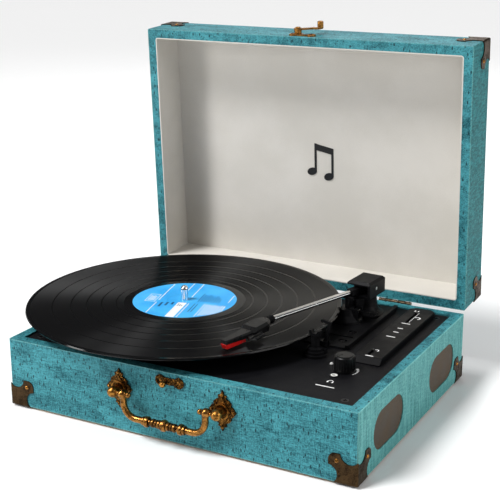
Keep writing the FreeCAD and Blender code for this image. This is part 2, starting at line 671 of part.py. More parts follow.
def save_head(hx, hy, z):
    rear = [(0.0, 5.0, z - 4.0, z + 3.4, 1.6), (7.0, 9.4, z - 4.6, z + 3.2, 2.0),
            (22.0, 9.4, z - 5.0, z + 2.0, 2.0),
            (25.5, 7.6, z - 5.0, z - 0.4, 1.6)]
    front = [(20.0, 7.4, z - 5.0, z - 0.2, 1.4), (HEAD_LEN - 3, 3.6, z - 4.8, z - 1.4, 0.8)]
    shell = fuse([Part.makeLoft([head_section(*s) for s in group], True, True) for group in (rear, front)])
    nose = -HEAD_LEN + 6.0
    shell = shell.cut(plan_wedge(-12, nose, 6.0, 3.0, z - 8, z - 2.9))
    shell = shell.cut(rod((0, 3.5, z), (0, -0.5, z), 3.42))
    tab = [V(7.0, -15, z - 4.4), V(16.0, -19, z - 4.4), V(17.5, -33, z - 4.4), V(12.5, -36, z - 4.4),
           V(5.5, -31, z - 4.4)]
    lift = [Part.Face(Part.makePolygon(tab + [tab[0]])).extrude(V(0, 0, 1.2))]
    for inner, outer in (((9.5, -17.5, z - 3.0), (12.2, -33.5, z - 3.0)),
                         ((14.2, -19.5, z - 3.0), (16.2, -32, z - 3.0))):
        lift += [rod(inner, outer, 0.9), ball(*inner, 0.9), ball(*outer, 0.9)]
    shell = fuse([shell] + lift).cut(plan_wedge(-12, nose, 6.0, 3.0, z - 8, z - 2.9))
    save("headshell", place_head(shell, hx, hy))
    body_top = z - 3.0
    low = RECORD_TOP + 1.2
    red_end = -HEAD_LEN + 27.0
    cart = plan_wedge(-14, red_end + 0.3, 5.4, 4.0, RECORD_TOP + 4.2, body_top)
    neck = box(-2.4, 2.4, red_end - 6.0, red_end + 0.3, RECORD_TOP + 4.8, body_top - 0.8)
    save("cartridge", place_head(fuse([cart, neck]), hx, hy))
    pts = [V(-6, -HEAD_LEN + 2.0, z - 4.9), V(-6, -HEAD_LEN + 4.5, low), V(-6, red_end, low + 0.8),
           V(-6, red_end, body_top - 0.1), V(-6, nose - 0.3, body_top - 0.1), V(-6, nose - 0.3, z - 4.9)]
    side = Part.Face(Part.makePolygon(pts + [pts[0]])).extrude(V(12, 0, 0))
    red = side.common(plan_wedge(red_end, -HEAD_LEN + 1.0, 4.2, 2.5, RECORD_TOP, z)).cut(neck)
    red = red.cut(box(-6, 6, nose - 1, nose + 0.35, z - 4.9, z))
    tip = Part.makeCone(0.15, 0.6, 1.2, V(0, -HEAD_LEN + TIP_BACK, RECORD_TOP + 0.6))
    save("stylus", place_head(fuse([red, tip]), hx, hy))


def make_rest():
    step = [(0, DECK_Z), (10.6, DECK_Z), (10.6, DECK_Z + 2.4), (9.0, DECK_Z + 2.8), (9.0, DECK_Z + 5.0),
            (7.4, DECK_Z + 5.4), (7.4, DECK_Z + 7.6), (4.2, DECK_Z + 8.6), (3.8, 80.0), (3.8, 84.4), (0,
                    84.4)]
    post = turned(step, REST_X, REST_Y)
    head = rounded_box(REST_X - 5.4, REST_X + 5.4, REST_Y - 2.6, REST_Y + 2.6, 83.4, 88.8, 1.0)
    notch = rod((REST_X, REST_Y - 4, 88.8), (REST_X, REST_Y + 4, 88.8), 2.9)
    lug = box(REST_X + 2.0, REST_X + 9.6, REST_Y + 3.4, REST_Y + 8.6, DECK_Z + 5.4, DECK_Z + 13)
    bridge = box(REST_X - 2, REST_X + 9.6, REST_Y, REST_Y + 8.6, DECK_Z, DECK_Z + 7.0)
    bridge = bridge.common(disc(REST_X, REST_Y, DECK_Z, DECK_Z + 8, 10.6))
    body = fuse([post, head, bridge, lug]).cut(notch)
    slot = box(REST_X + 4.0, REST_X + 10, REST_Y + 4.5, REST_Y + 7.5, DECK_Z + 7.0, DECK_Z + 14)
    pin_hole = rod((CLIP_X, REST_Y + 3, CLIP_Z), (CLIP_X, REST_Y + 9, CLIP_Z), 0.8 + RUN_GAP)
    save("arm_rest", cut(body, [slot, pin_hole]))

    cy = REST_Y + 6.0
    blade = box(CLIP_X - 1.5, CLIP_X + 1.5, cy - 1.2, cy + 1.2, CLIP_Z, CLIP_Z + 21.5)
    hook = box(CLIP_X - 7.0, CLIP_X + 1.5, cy - 1.2, cy + 1.2, CLIP_Z + 19.3, CLIP_Z + 21.8)
    nose = rod((CLIP_X - 7.0, cy - 1.2, CLIP_Z + 20.2), (CLIP_X - 7.0, cy + 1.2, CLIP_Z + 20.2), 1.6)
    hub = rod((CLIP_X, cy - 1.2, CLIP_Z), (CLIP_X, cy + 1.2, CLIP_Z), 2.0)
    pin = rod((CLIP_X, cy - 2.5, CLIP_Z), (CLIP_X, cy + 2.5, CLIP_Z), 0.8)
    clip = fuse([blade, hook, nose, hub, pin])
    clip.rotate(V(CLIP_X, cy, CLIP_Z), Y_AXIS, 12)
    save("rest_clip", clip)


# ---- controls ---------------------------------------------------------------------------------
def make_control_panel():
    raised = box(PANEL_LEFT, PANEL_RIGHT, PANEL_FRONT, PANEL_BACK, DECK_Z, PANEL_TOP)
    back_edges = [e for e in raised.Edges if e.tangentAt(e.FirstParameter).cross(Z_AXIS).Length < 1e-6
                  and e.Vertexes[0].Point.y > 0]
    raised = raised.makeChamfer(5.0, back_edges)
    wedge = Part.Face(Part.makePolygon([V(PANEL_LEFT - 1, PANEL_FRONT, DECK_Z + 1.0),
                                        V(PANEL_LEFT - 1, PANEL_FRONT, PANEL_TOP + 1),
                                        V(PANEL_LEFT - 1, PANEL_FRONT + 7.0, PANEL_TOP + 1),
                                        V(PANEL_LEFT - 1, PANEL_FRONT + 6.0, PANEL_TOP),
                                        V(PANEL_LEFT - 1, PANEL_FRONT, DECK_Z + 1.0)]))
    raised = raised.cut(wedge.extrude(V(CASE_W, 0, 0)))
    top_edges = [e for e in raised.Edges if all(abs(v.Point.z - PANEL_TOP) < 1e-6 for v in e.Vertexes)]
    raised = raised.makeFillet(0.8, top_edges)
    hollow = box(PANEL_LEFT + 2, PANEL_RIGHT - 2, -20 - 4, PANEL_BACK - 9, DECK_Z - 1, PANEL_TOP - 2)
    slots = [box(SLOT_X - SLOT_W / 2, SLOT_X + SLOT_W / 2, a, b, DECK_Z, PANEL_TOP + 1) for a,
             b in (SPEED_SLOT, STOP_SLOT)]
    save("control_panel", cut(raised, [hollow] + slots))


def slider(y, low):
    """A slide-switch lever: thin stem through the slot and a wider base below it."""
    stem = rounded_box(SLOT_X - 0.9, SLOT_X + 0.9, y - 1.8, y + 1.8, low, PANEL_TOP + 1.6, 0.6)
    base = box(SLOT_X - 3.4, SLOT_X + 3.4, y - 2.6, y + 2.6, low - 1.2, low + 1.0)
    return fuse([base, stem])


def switch_body(a, b):
    low = DECK_Z - 10.0
    body = box(SLOT_X - 4.6, SLOT_X + 4.6, a - 0.6, b + 0.6, low, DECK_Z - 3.6)
    room = box(SLOT_X - 3.7, SLOT_X + 3.7, a + 0.2, b - 0.2, low + 2.6, DECK_Z)
    pins = [box(SLOT_X - 0.4, SLOT_X + 0.4, y - 0.4, y + 0.4, low - 3.0, low + 0.5) for y in (a + 2,
            (a + b) / 2, b - 2)]
    return fuse([body.cut(room)] + pins)


def make_switches():
    base_z = DECK_Z - 5.0
    save("speed_slider", slider(SPEED_SLOT[1] - 3.4, base_z))
    save("autostop_slider", slider(STOP_SLOT[1] - 3.4, base_z))
    collect("control_switches", [switch_body(*SPEED_SLOT), switch_body(*STOP_SLOT)])


def make_knob_and_jack():
    low = DECK_Z + 0.8
    top = low + KNOB_H
    profile = [(0, low + 3), (KNOB_R - 1.6, low + 3), (KNOB_R - 1.6, low), (KNOB_R, low),
               (KNOB_R - 0.3, top - 1.6),
               (KNOB_R - 0.9, top - 0.8), (KNOB_R - 1.9, top - 0.8), (KNOB_R - 2.1, top), (0, top)]
    knob = turned(profile, KNOB_X, KNOB_Y)
    flutes = []
    for i in range(24):
        turn = math.radians(15 * i)
        fx = KNOB_X + (KNOB_R + 0.35) * math.cos(turn)
        fy = KNOB_Y + (KNOB_R + 0.35) * math.sin(turn)
        flutes.append(disc(fx, fy, low + 1.6, top - 2.0, 0.75))
    knob = cut(knob, flutes)
    mark = box(KNOB_X - 0.5, KNOB_X + 0.5, KNOB_Y - 5.6, KNOB_Y - 1.6, top - 0.5, top + 1)
    mark.rotate(V(KNOB_X, KNOB_Y, 0), Z_AXIS, -40)
    shaft = disc(KNOB_X, KNOB_Y, DECK_Z - DECK_T - 4.0, top - 3.0, 3.0)
    save("volume_knob", fuse([cut(knob, [mark]), shaft]))
    plate_low = DECK_Z - DECK_T
    pot = fuse([disc(KNOB_X, KNOB_Y, plate_low - 9.5, plate_low - 0.5, 8.0),
                disc(KNOB_X, KNOB_Y, plate_low - 1, DECK_Z - 0.4, 3.58)])
    pot = pot.cut(disc(KNOB_X, KNOB_Y, plate_low - 4.2, DECK_Z + 1, 3.0 + RUN_GAP))
    collect("control_switches", [pot])

    ring_z = DECK_Z + 0.9
    low = DECK_Z - 13.0
    barrel = fuse([disc(JACK_X, JACK_Y, low + 4, ring_z, 3.0),
                   disc(JACK_X, JACK_Y, DECK_Z + 0.02, ring_z, 4.0),
                   rounded_box(JACK_X - 4.5, JACK_X + 4.5, JACK_Y - 4, JACK_Y + 4, low - 2,
                               DECK_Z - DECK_T - 0.1, 0.8)])
    save("headphone_jack", barrel.cut(disc(JACK_X, JACK_Y, low, ring_z + 1, JACK_BORE_R)))
    led = fuse([disc(LED_X, LED_Y, DECK_Z - 5, DECK_Z + 0.2, 1.5), ball(LED_X, LED_Y, DECK_Z + 0.2, 1.5)])
    save("power_led", led)


# ---- speakers ---------------------------------------------------------------------------------
def make_speakers():
    for y in SPEAKER_Y:
        face = HALF_W - 0.7
        grille = stadium(GRILLE_L - 0.4, GRILLE_H - 0.4, face - 1.3, face, y, SPEAKER_Z)
        collect("speaker_grilles", [grille])
        back = IN_X
        frame = stadium(66.0, 39.0, back - 1.6, back, y, SPEAKER_Z)
        frame = frame.cut(stadium(56.0, 27.0, back - 3, back + 1, y, SPEAKER_Z))
        basket = [stadium(60.0, 31.0, back - 3.0, back - 1.6, y, SPEAKER_Z).cut(
            stadium(56.0, 27.0, back - 4, back, y, SPEAKER_Z))]
        for sy in (-1, 1):
            for sz in (-1, 1):
                basket.append(rod((back - 2.4, y + sy * 17, SPEAKER_Z + sz * 14.2),
                                  (back - 15.5, y + sy * 8, SPEAKER_Z + sz * 9.8), 1.4))
        basket.append(rod((back - 17, y, SPEAKER_Z), (back - 15, y, SPEAKER_Z), 12.5))
        magnet = rod((back - 25, y, SPEAKER_Z), (back - 17, y, SPEAKER_Z), 14.0)
        collect("speaker_frames", [fuse([frame] + basket), magnet])
        outer = stadium_wire(55.6, 26.6, back - 1.8, y)
        neck = stadium_wire(14.2, 14.0, back - 13.5, y)
        outer_in = stadium_wire(54.8, 25.8, back - 1.8, y)
        neck_in = stadium_wire(13.4, 13.2, back - 13.5, y)
        cone = Part.makeLoft([outer, neck], True).cut(Part.makeLoft([outer_in, neck_in], True))
        cone = cone.cut(fuse(basket))
        cap = ball(back - 13.5, y, SPEAKER_Z, 6.4).common(box(back - 13.4, back, y - 9, y + 9, 10, 60))
        collect("speaker_cones", [cone, cap])


def stadium_wire(length, height, x, y):
    r = height / 2
    half = length / 2 - r
    z = SPEAKER_Z
    edges = [Part.LineSegment(V(x, y - half, z + r), V(x, y + half, z + r)).toShape()]
    edges.append(Part.Arc(V(x, y + half, z + r), V(x, y + half + r, z), V(x, y + half, z - r)).toShape())
    edges.append(Part.LineSegment(V(x, y + half, z - r), V(x, y - half, z - r)).toShape())
    edges.append(Part.Arc(V(x, y - half, z - r), V(x, y - half - r, z), V(x, y - half, z + r)).toShape())
    return Part.Wire(edges)


# ---- electronics and rear sockets -------------------------------------------------------------
def make_electronics():
    low = FOOT_H + PANEL_T
    board_z = low + 8.0
    x0, x1, y0, y1 = 30.0, 118.0, 40.0, 92.0
    spots = [(x, y) for x in (x0 + 5, x1 - 5) for y in (y0 + 5, y1 - 5)]
    posts = [disc(x, y, low, board_z, 3.0) for x, y in spots]
    screws = []
    for x, y in spots:
        screws.append(fuse([disc(x, y, board_z - 4, board_z + 1.6, 1.25),
                            disc(x, y, board_z + 1.6, board_z + 3.2, 2.6)]))
    posts = [cut(p, [s]) for p, s in zip(posts, screws)]
    collect("case_screws", screws)
    board = box(x0, x1, y0, y1, board_z, board_z + 1.6)
    board = cut(board, screws)
    top = board_z + 1.6
    chips = [box(58, 72, 60, 66, top, top + 2.2), box(82, 90, 54, 62, top, top + 1.8)]
    chips += [disc(x, 80, top, top + 11, 4.0) for x in (52, 64)]
    chips += [disc(x, 52, top, top + 7, 2.5) for x in (48, 96, 104)]
    chips.append(box(100, 112, 66, 76, top, top + 12))
    save("main_board", Part.makeCompound([fuse([board] + chips)] + posts))


def make_rear_sockets():
    face = HALF_D
    plate = rounded_box(RCA_X[0] - 14, DC_X + 14, face, face + 1.5, SOCKET_Z - 12, SOCKET_Z + 12, 2.0, Y_AXIS)
    inner = IN_Y - 6
    out = face + 1.5
    rca = []
    for x in RCA_X:
        body = fuse([rod((x, inner, SOCKET_Z), (x, out, SOCKET_Z), 4.6),
                     rod((x, out, SOCKET_Z), (x, out + 9, SOCKET_Z), RCA_R)])
        body = body.cut(rod((x, out - 6, SOCKET_Z), (x, out + 10, SOCKET_Z), 1.7))
        rca.append(body)
    aux = fuse([rod((AUX_X, inner, SOCKET_Z), (AUX_X, out, SOCKET_Z), 4.6),
                rod((AUX_X, out, SOCKET_Z), (AUX_X, out + 1.0, SOCKET_Z), 4.0)])
    aux = aux.cut(rod((AUX_X, out - 13, SOCKET_Z), (AUX_X, out + 2, SOCKET_Z), JACK_BORE_R))
    dc = rod((DC_X, inner, SOCKET_Z), (DC_X, out + 0.6, SOCKET_Z), 5.2)
    dc = dc.cut(rod((DC_X, out - 10, SOCKET_Z), (DC_X, out + 2, SOCKET_Z), 2.8))
    dc = dc.fuse(rod((DC_X, out - 11, SOCKET_Z), (DC_X, out - 1.0, SOCKET_Z), 1.0)).removeSplitter()
    screws = []
    for sx in (RCA_X[0] - 10, DC_X + 10):
        head = rod((sx, out, SOCKET_Z), (sx, out + 1.2, SOCKET_Z), 2.6)
        head = head.cut(box(sx - 2, sx + 2, out + 0.7, out + 2, SOCKET_Z - 0.3, SOCKET_Z + 0.3))
        screws.append(fuse([head, rod((sx, face - 6, SOCKET_Z), (sx, out, SOCKET_Z), 1.3)]))
    holes = [rod((x, inner, SOCKET_Z), (x, out + 1, SOCKET_Z), 4.6) for x in RCA_X + (AUX_X,)]
    holes.append(rod((DC_X, inner, SOCKET_Z), (DC_X, out + 1, SOCKET_Z), 5.2))
    save("socket_plate", cut(plate, holes + screws))
    save("audio_sockets", Part.makeCompound(rca + [aux]))
    save("dc_inlet", dc)
    collect("case_screws", screws)
    save("base_carcass", cut(NODES["base_carcass"], screws))
    save("base_wrap", cut(NODES["base_wrap"], screws))


# ---- handle -----------------------------------------------------------------------------------
def ornate_outline():
    """Right half of a stepped lozenge with small pointed ears, from its top tip to its lower tip."""
    upper = [(0, 18.6), (2.0, 14.4), (4.2, 14.0), (3.4, 11.4), (6.6, 9.6), (8.6, 7.6), (8.2, 5.0),
             (10.2, 4.2), (13.2, 0)]
    return upper + [(a, -b) for a, b in reversed(upper[:-1])]


def handle_plate(side):
    """A stepped ornamental plate with a ring, a domed boss and the pin that the bail turns on."""
    x = side * HANDLE_X
    z = HANDLE_Z
    y = -HALF_D
    outline = ornate_outline()
    points = outline + [(-a, b) for a, b in reversed(outline[1:-1])]
    wire = Part.makePolygon([V(x + a, y, z + b) for a, b in points + [points[0]]])
    plate = Part.Face(wire).extrude(V(0, -1.6, 0))
    lozenge = [(0, 12.6), (8.4, 0), (0, -12.6), (-8.4, 0), (0, 12.6)]
    mid = Part.Face(Part.makePolygon([V(x + a, y, z + b) for a, b in lozenge])).extrude(V(0, -2.5, 0))
    ring = rod((x, y, z), (x, y - 3.3, z), 7.2).cut(rod((x, y - 2.0, z), (x, y - 4, z), 6.0))
    out = y - HANDLE_OUT
    boss = fuse([rod((x, y, z), (x, out, z), 4.4), ball(x, out, z, 5.0)])
    pin = rod((x, out, z), (side * (EYE_X - 2.4), out, z), 1.6)
    bead = ball(side * (EYE_X + 7.2), out, z, 2.3)
    studs = [ball(x, y - 1.75, z + s * 14.6, 1.7) for s in (-1, 1)]
    studs += [ball(x + s * 10.6, y - 1.5, z, 1.4) for s in (-1, 1)]
    plate = plate.fuse(mid).cut(rod((x, y - 2.0, z), (x, y - 4, z), 6.2))
    return fuse([plate, ring, boss, pin, bead] + studs)


def make_handle():
    save("handle_plates", Part.makeCompound([handle_plate(-1), handle_plate(1)]))
    y = -HALF_D - HANDLE_OUT
    z = HANDLE_Z
    low = z - BAIL_DROP
    bend = 13.0
    arm_x = EYE_X - 1.5
    arm_r = 3.0
    parts = []
    for side in (-1, 1):
        eye = ball(side * (EYE_X - 0.6), y, z, 4.3)
        eye = eye.fuse(ball(side * (EYE_X - 6.4), y, z, 2.6))
        corner = V(side * arm_x, y, low)
        up_end = V(side * arm_x, y, low + bend)
        in_end = V(side * (arm_x - bend), y, low)
        mid = V(side * (arm_x - bend * (1 - math.sqrt(0.5))), y, low + bend * (1 - math.sqrt(0.5)))
        path = Part.Wire([Part.LineSegment(V(side * arm_x, y, z), up_end).toShape(),
                          Part.Arc(up_end, mid, in_end).toShape(),
                          Part.LineSegment(in_end, V(side * 18, y, corner.z)).toShape()])
        ring = Part.Wire([Part.makeCircle(arm_r, V(side * arm_x, y, z), Z_AXIS)])
        arm = path.makePipeShell([ring], True, True)
        hole = rod((side * (EYE_X - 3.4), y, z), (side * (EYE_X + 6), y, z), 1.6 + RUN_GAP)
        parts.append(eye.fuse(arm).cut(hole))
    beads = [(0, 5.2, 2.6), (4.4, 3.9, 1.6), (7.6, 3.6, 1.5), (10.8, 3.8, 1.6), (17.0, 4.9, 2.0),
             (20.4, 4.0, 1.4)]
    bar = rod((-18.5, y, low), (18.5, y, low), 3.0)
    parts.append(bar)
    for at, radius, half in beads:
        for side in ((1,) if at == 0 else (-1, 1)):
            ring = rod((side * at - half, y, low), (side * at + half, y, low), radius)
            parts.append(ring.makeFillet(half * 0.62, [e for e in ring.Edges if e.Closed]))
    save("handle_bail", fuse(parts))


# ---- latch ------------------------------------------------------------------------------------
def oval_plate(x, z, half_len, radius, y, thick):
    """A plate of two round lobes joined by a waist, with a raised rim round each lobe's screw."""
    mid = box(x - half_len + radius, x + half_len - radius, y - thick, y, z - radius * 0.62,
              z + radius * 0.62)
    parts = [mid]
    for s in (-1, 1):
        at = x + s * (half_len - radius)
        parts.append(rod((at, y, z), (at, y - thick, z), radius))
        parts.append(rod((at, y, z), (at, y - thick - 0.5, z),
                         radius - 0.8).cut(rod((at, y, z), (at, y - thick - 1, z), radius - 1.8)))
    return fuse(parts)


def make_latch():
    y = -HALF_D
    keeper = oval_plate(0, KEEPER_Z, 14.2, 5.0, y, 1.2)
    stem = rod((KEEPER_X, y, KEEPER_Z - 1.5), (KEEPER_X, y - 4.2, KEEPER_Z - 1.5), 1.5)
    knob = ball(KEEPER_X, y - 5.6, KEEPER_Z - 1.5, 2.9)
    keeper = fuse([keeper, stem, knob])
    seats = [rod((s * 9.2, y - 2, KEEPER_Z), (s * 9.2, y - 0.5, KEEPER_Z), 1.9) for s in (-1, 1)]
    save("latch_keeper", cut(keeper, seats))
    heads = []
    for s in (-1, 1):
        head = ball(s * 9.2, y + 0.9, KEEPER_Z, 2.4).common(box(-20, 20, y - 5, y - 0.5, 50, 70))
        head = head.common(rod((s * 9.2, y - 5, KEEPER_Z), (s * 9.2, y - 0.5, KEEPER_Z), 1.8))
        heads.append(head.cut(box(s * 9.2 - 2, s * 9.2 + 2, y - 3, y - 1.1, KEEPER_Z - 0.25,
                                  KEEPER_Z + 0.25)))

    z = RIM_Z + 7.0
    plate = oval_plate(0, z, 14.2, 4.8, y, 1.2)
    pivot_z = RIM_Z + LATCH_UP
    tower = fuse([rod((LATCH_X, y, pivot_z), (LATCH_X, y - 1.4, pivot_z), 5.2),
                  rod((LATCH_X, y, pivot_z), (LATCH_X, y - 4.2, pivot_z), 3.6),
                  rod((LATCH_X, y, pivot_z), (LATCH_X, y - 7.6, pivot_z), 1.6),
                  rod((LATCH_X, y - 7.1, pivot_z), (LATCH_X, y - 7.9, pivot_z), 2.5)])
    seats = [rod((s * 9.4, y - 2, z), (s * 9.4, y - 0.5, z), 1.9) for s in (-1, 1)]
    save("latch_plate", opened(cut(fuse([plate, tower]), seats)))
    lid_heads = []
    for s in (-1, 1):
        head = ball(s * 9.4, y + 0.9, z, 2.4).common(box(-20, 20, y - 5, y - 0.5, 60, 80))
        head = head.common(rod((s * 9.4, y - 5, z), (s * 9.4, y - 0.5, z), 1.8))
        lid_heads.append(head.cut(box(s * 9.4 - 2, s * 9.4 + 2, y - 3, y - 1.1, z - 0.25, z + 0.25)))
    collect("base_trim_nails", heads)
    collect("lid_trim_nails", [opened(head) for head in lid_heads])

    ring_y = y - 4.5
    ring = rod((LATCH_X, ring_y, pivot_z), (LATCH_X, ring_y - 2.3, pivot_z), 4.0)
    arm = box(LATCH_X - 1.7, LATCH_X + 1.7, ring_y - 2.1, ring_y - 0.3, pivot_z - HOOK_LEN, pivot_z)
    claw_z = pivot_z - HOOK_LEN + 1
    claw = rod((LATCH_X + 0.4, ring_y - 2.1, claw_z), (LATCH_X + 0.4, ring_y - 0.3, claw_z), 4.2)
    catch_x = KEEPER_X
    mouth = rod((catch_x, ring_y - 3, claw_z + 0.6), (catch_x, ring_y + 1, claw_z + 0.6), 1.9)
    gap = box(catch_x, catch_x + 6, ring_y - 3, ring_y + 1, claw_z - 1.3, claw_z + 2.5)
    tip_z = pivot_z - HOOK_LEN - 2.0
    knob = rod((LATCH_X, ring_y - 0.3, tip_z), (LATCH_X, ring_y - 8.0, tip_z), 3.0)
    knob = knob.makeFillet(1.1, [e for e in knob.Edges if e.Closed])
    hole = rod((LATCH_X, ring_y - 3, pivot_z), (LATCH_X, ring_y + 1, pivot_z), 1.6 + RUN_GAP)
    hook = cut(fuse([ring, arm, claw, knob]), [hole, mouth, gap])
    hook.rotate(V(LATCH_X, 0, pivot_z), Y_AXIS, -HOOK_REST_DEG)
    save("latch_hook", opened(hook))


# ---- lid --------------------------------------------------------------------------------------
def make_lid():
    low = RIM_Z
    top = RIM_Z + LID_H
    ox = HALF_W - WRAP_T
    oy = HALF_D - WRAP_T
    ceiling = top - LID_ROOF_T
    in_x = HALF_W - LID_WALL_T
    in_y = HALF_D - LID_WALL_T
    cavity = rounded_box(-in_x, in_x, -in_y, in_y, low - 1, ceiling, LID_CORNER_R)
    body = rounded_box(-ox, ox, -oy, oy, low + WRAP_T, top - WRAP_T, EDGE_R - WRAP_T)
    save("lid_carcass", opened(body.cut(cavity)))
    skin = rounded_box(-HALF_W, HALF_W, -HALF_D, HALF_D, low, top, EDGE_R)
    core = rounded_box(-ox, ox, -oy, oy, low + WRAP_T, top - WRAP_T, EDGE_R - WRAP_T)
    save("lid_wrap", opened(cut(skin, [core, cavity])))
    lx = in_x - LINING_T
    ly = in_y - LINING_T
    inner = rounded_box(-lx, lx, -ly, ly, low - 2, ceiling - LINING_T, LID_CORNER_R - LINING_T)
    liner = rounded_box(-in_x, in_x, -in_y, in_y, low, ceiling, LID_CORNER_R)
    save("lid_lining", opened(liner.cut(inner)))
    corners = [(-1, -1), (1, -1), (-1, 1), (1, 1)]
    guards, nails = corner_set(top, -1, corners)
    save("lid_corner_guards", opened(Part.makeCompound(guards)))
    collect("lid_trim_nails", [opened(nail) for nail in nails])
    save("lid_badge", opened(badge(ceiling - LINING_T)))


def badge(face_z):
    """Two beamed quaver notes: a plain musical sign, cut from thin plate."""
    thick = 0.6
    low = face_z - thick
    heads = []
    for sx in (-1, 1):
        head = Part.Ellipse(V(0, 0, 0), 5.4, 3.9).toShape()
        face = Part.Face(Part.Wire([head])).extrude(V(0, 0, thick))
        face.rotate(V(0, 0, 0), Z_AXIS, -20)
        face.translate(V(BADGE_X + sx * 9.5, BADGE_Y + 14 + sx * 2.0, low))
        heads.append(face)
        stem_x = BADGE_X + sx * 9.5 + 4.0
        heads.append(box(stem_x - 1.1, stem_x + 1.1, BADGE_Y - 16 + sx * 2.0, BADGE_Y + 13 + sx * 2.0, low,
                         low + thick))
    left = BADGE_X - 9.5 + 2.9
    right = BADGE_X + 9.5 + 5.1
    beam = Part.Face(Part.makePolygon([V(left, BADGE_Y - 18, low), V(right, BADGE_Y - 14, low),
                                       V(right, BADGE_Y - 7.5, low),
                                       V(left, BADGE_Y - 11.5, low), V(left, BADGE_Y - 18, low)]))
    heads.append(beam.extrude(V(0, 0, thick)))
    return fuse(heads)


# ---- hinges -----------------------------------------------------------------------------------
def make_hinges():
    barrel_r = 2.1
    pin_r = 1.0
    leaf_t = 1.0
    knuckles = 5
    pitch = HINGE_W / knuckles
    play = 0.15
    base_leaves, lid_leaves, pins, screws, lid_screws = [], [], [], [], []
    for centre in (-HINGE_X, HINGE_X):
        x0 = centre - HINGE_W / 2
        pins.append(rod((x0 + 0.2, HINGE_Y, HINGE_Z), (x0 + HINGE_W - 0.2, HINGE_Y, HINGE_Z), pin_r))
        base = [box(x0, x0 + HINGE_W, HALF_D, HALF_D + leaf_t, HINGE_Z - 20, HINGE_Z - 2.4)]
        lid = [box(x0, x0 + HINGE_W, HALF_D, HALF_D + leaf_t, HINGE_Z + 2.4, HINGE_Z + 20)]
        for i in range(knuckles):
            a = x0 + i * pitch + play
            b = x0 + (i + 1) * pitch - play
            barrel = rod((a, HINGE_Y, HINGE_Z), (b, HINGE_Y, HINGE_Z), barrel_r)
            if i % 2 == 0:
                tab = box(a, b, HALF_D, HALF_D + leaf_t, HINGE_Z - 3, HINGE_Z)
                base.append(fuse([barrel, tab]).cut(rod((a - 1, HINGE_Y, HINGE_Z),
                                                        (b + 1, HINGE_Y, HINGE_Z), pin_r)))
            else:
                tab = box(a, b, HALF_D, HALF_D + leaf_t, HINGE_Z, HINGE_Z + 3)
                lid.append(fuse([barrel, tab]).cut(rod((a - 1, HINGE_Y, HINGE_Z), (b + 1, HINGE_Y, HINGE_Z),
                                                       pin_r + RUN_GAP)))
        base_leaves.append(fuse(base))
        lid_leaves.append(fuse(lid))
        for sx in (-1, 1):
            for group, z in ((screws, HINGE_Z - 11), (lid_screws, HINGE_Z + 11)):
                spot = centre + sx * 11
                head = ball(spot, HALF_D - 0.4, z,
                            2.6).common(rod((spot, HALF_D + leaf_t, z), (spot, HALF_D + 5, z), 2.2))
                group.append(head.cut(box(spot - 3, spot + 3, HALF_D + leaf_t + 0.5, HALF_D + 5, z - 0.25,
                                          z + 0.25)))
    save("hinge_base_leaves", Part.makeCompound(base_leaves + pins))
    save("hinge_lid_leaves", opened(Part.makeCompound(lid_leaves)))
    collect("base_trim_nails", screws)
    collect("lid_trim_nails", [opened(screw) for screw in lid_screws])


def main():
    make_base_case()
    make_bottom()
    make_base_guards()
    make_deck()
    make_drive()
    make_platter()
    make_record()
    make_arm_plate()
    make_pedestal()
    make_housing()
    make_yoke()
    make_arm()
    make_rest()
    make_control_panel()
    make_switches()
    make_knob_and_jack()
    make_speakers()
    make_electronics()
    make_rear_sockets()
    make_handle()
    make_latch()
    make_lid()
    make_hinges()
    for name, shapes in GROUPS.items():
        save(name, Part.makeCompound(shapes))
    os.makedirs("parts", exist_ok=True)
    for name, shape in NODES.items():
        shape.exportStep("parts/" + name + ".step")
        solids = shape.Solids
        print("%-24s solids %2d valid %s volume %.1f" % (name, len(solids), shape.isValid(), shape.Volume))
    print(len(NODES), "nodes")


main()
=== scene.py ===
"""Looks for the portable record player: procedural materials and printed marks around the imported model."""
import math

import bmesh
import bpy
from mathutils import Matrix, Vector


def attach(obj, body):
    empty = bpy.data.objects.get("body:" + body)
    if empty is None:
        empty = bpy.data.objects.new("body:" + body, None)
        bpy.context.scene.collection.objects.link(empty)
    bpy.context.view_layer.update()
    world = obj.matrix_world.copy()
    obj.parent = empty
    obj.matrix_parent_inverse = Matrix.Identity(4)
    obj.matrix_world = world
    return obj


# Sizes and places in metres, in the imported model's frame.
MM = 0.001
HALF_W, HALF_D, FOOT_H, RIM_Z, LID_H = 0.1745, 0.128, 0.0025, 0.0665, 0.047
HINGE_Y, LID_OPEN = 0.1305, math.radians(87.2)
DISC = Vector((-0.0623, -0.0015, 0.0))
RECORD_TOP = 0.083
TRACK_GAPS = (0.0655, 0.0795, 0.0935, 0.1085, 0.1260)
RUN_OUT = (0.0575, 0.0590)
LEAD_IN = (0.1462, 0.1470)
LABEL_T = 0.00012
LABEL_R = 49.4
PRESSED_RING_R = 0.0165
PANEL_TOP = 0.0705
DECK_Z = 0.065
JACK = Vector((0.125, -0.066, 0.0))
JACK_GLINT_RING = (0.0029, 0.0031)
KNOB = Vector((0.1283, -0.0515, 0.0))
HANDLE_Y, HANDLE_Z = -0.139, 0.022
INK = 0.00003
CAMERA_YAW, CAMERA_PITCH, CAMERA_ROLL = 0.495, 0.288, 0.005
CAMERA_PLACE = (0.4982, -0.8968, 0.4503)

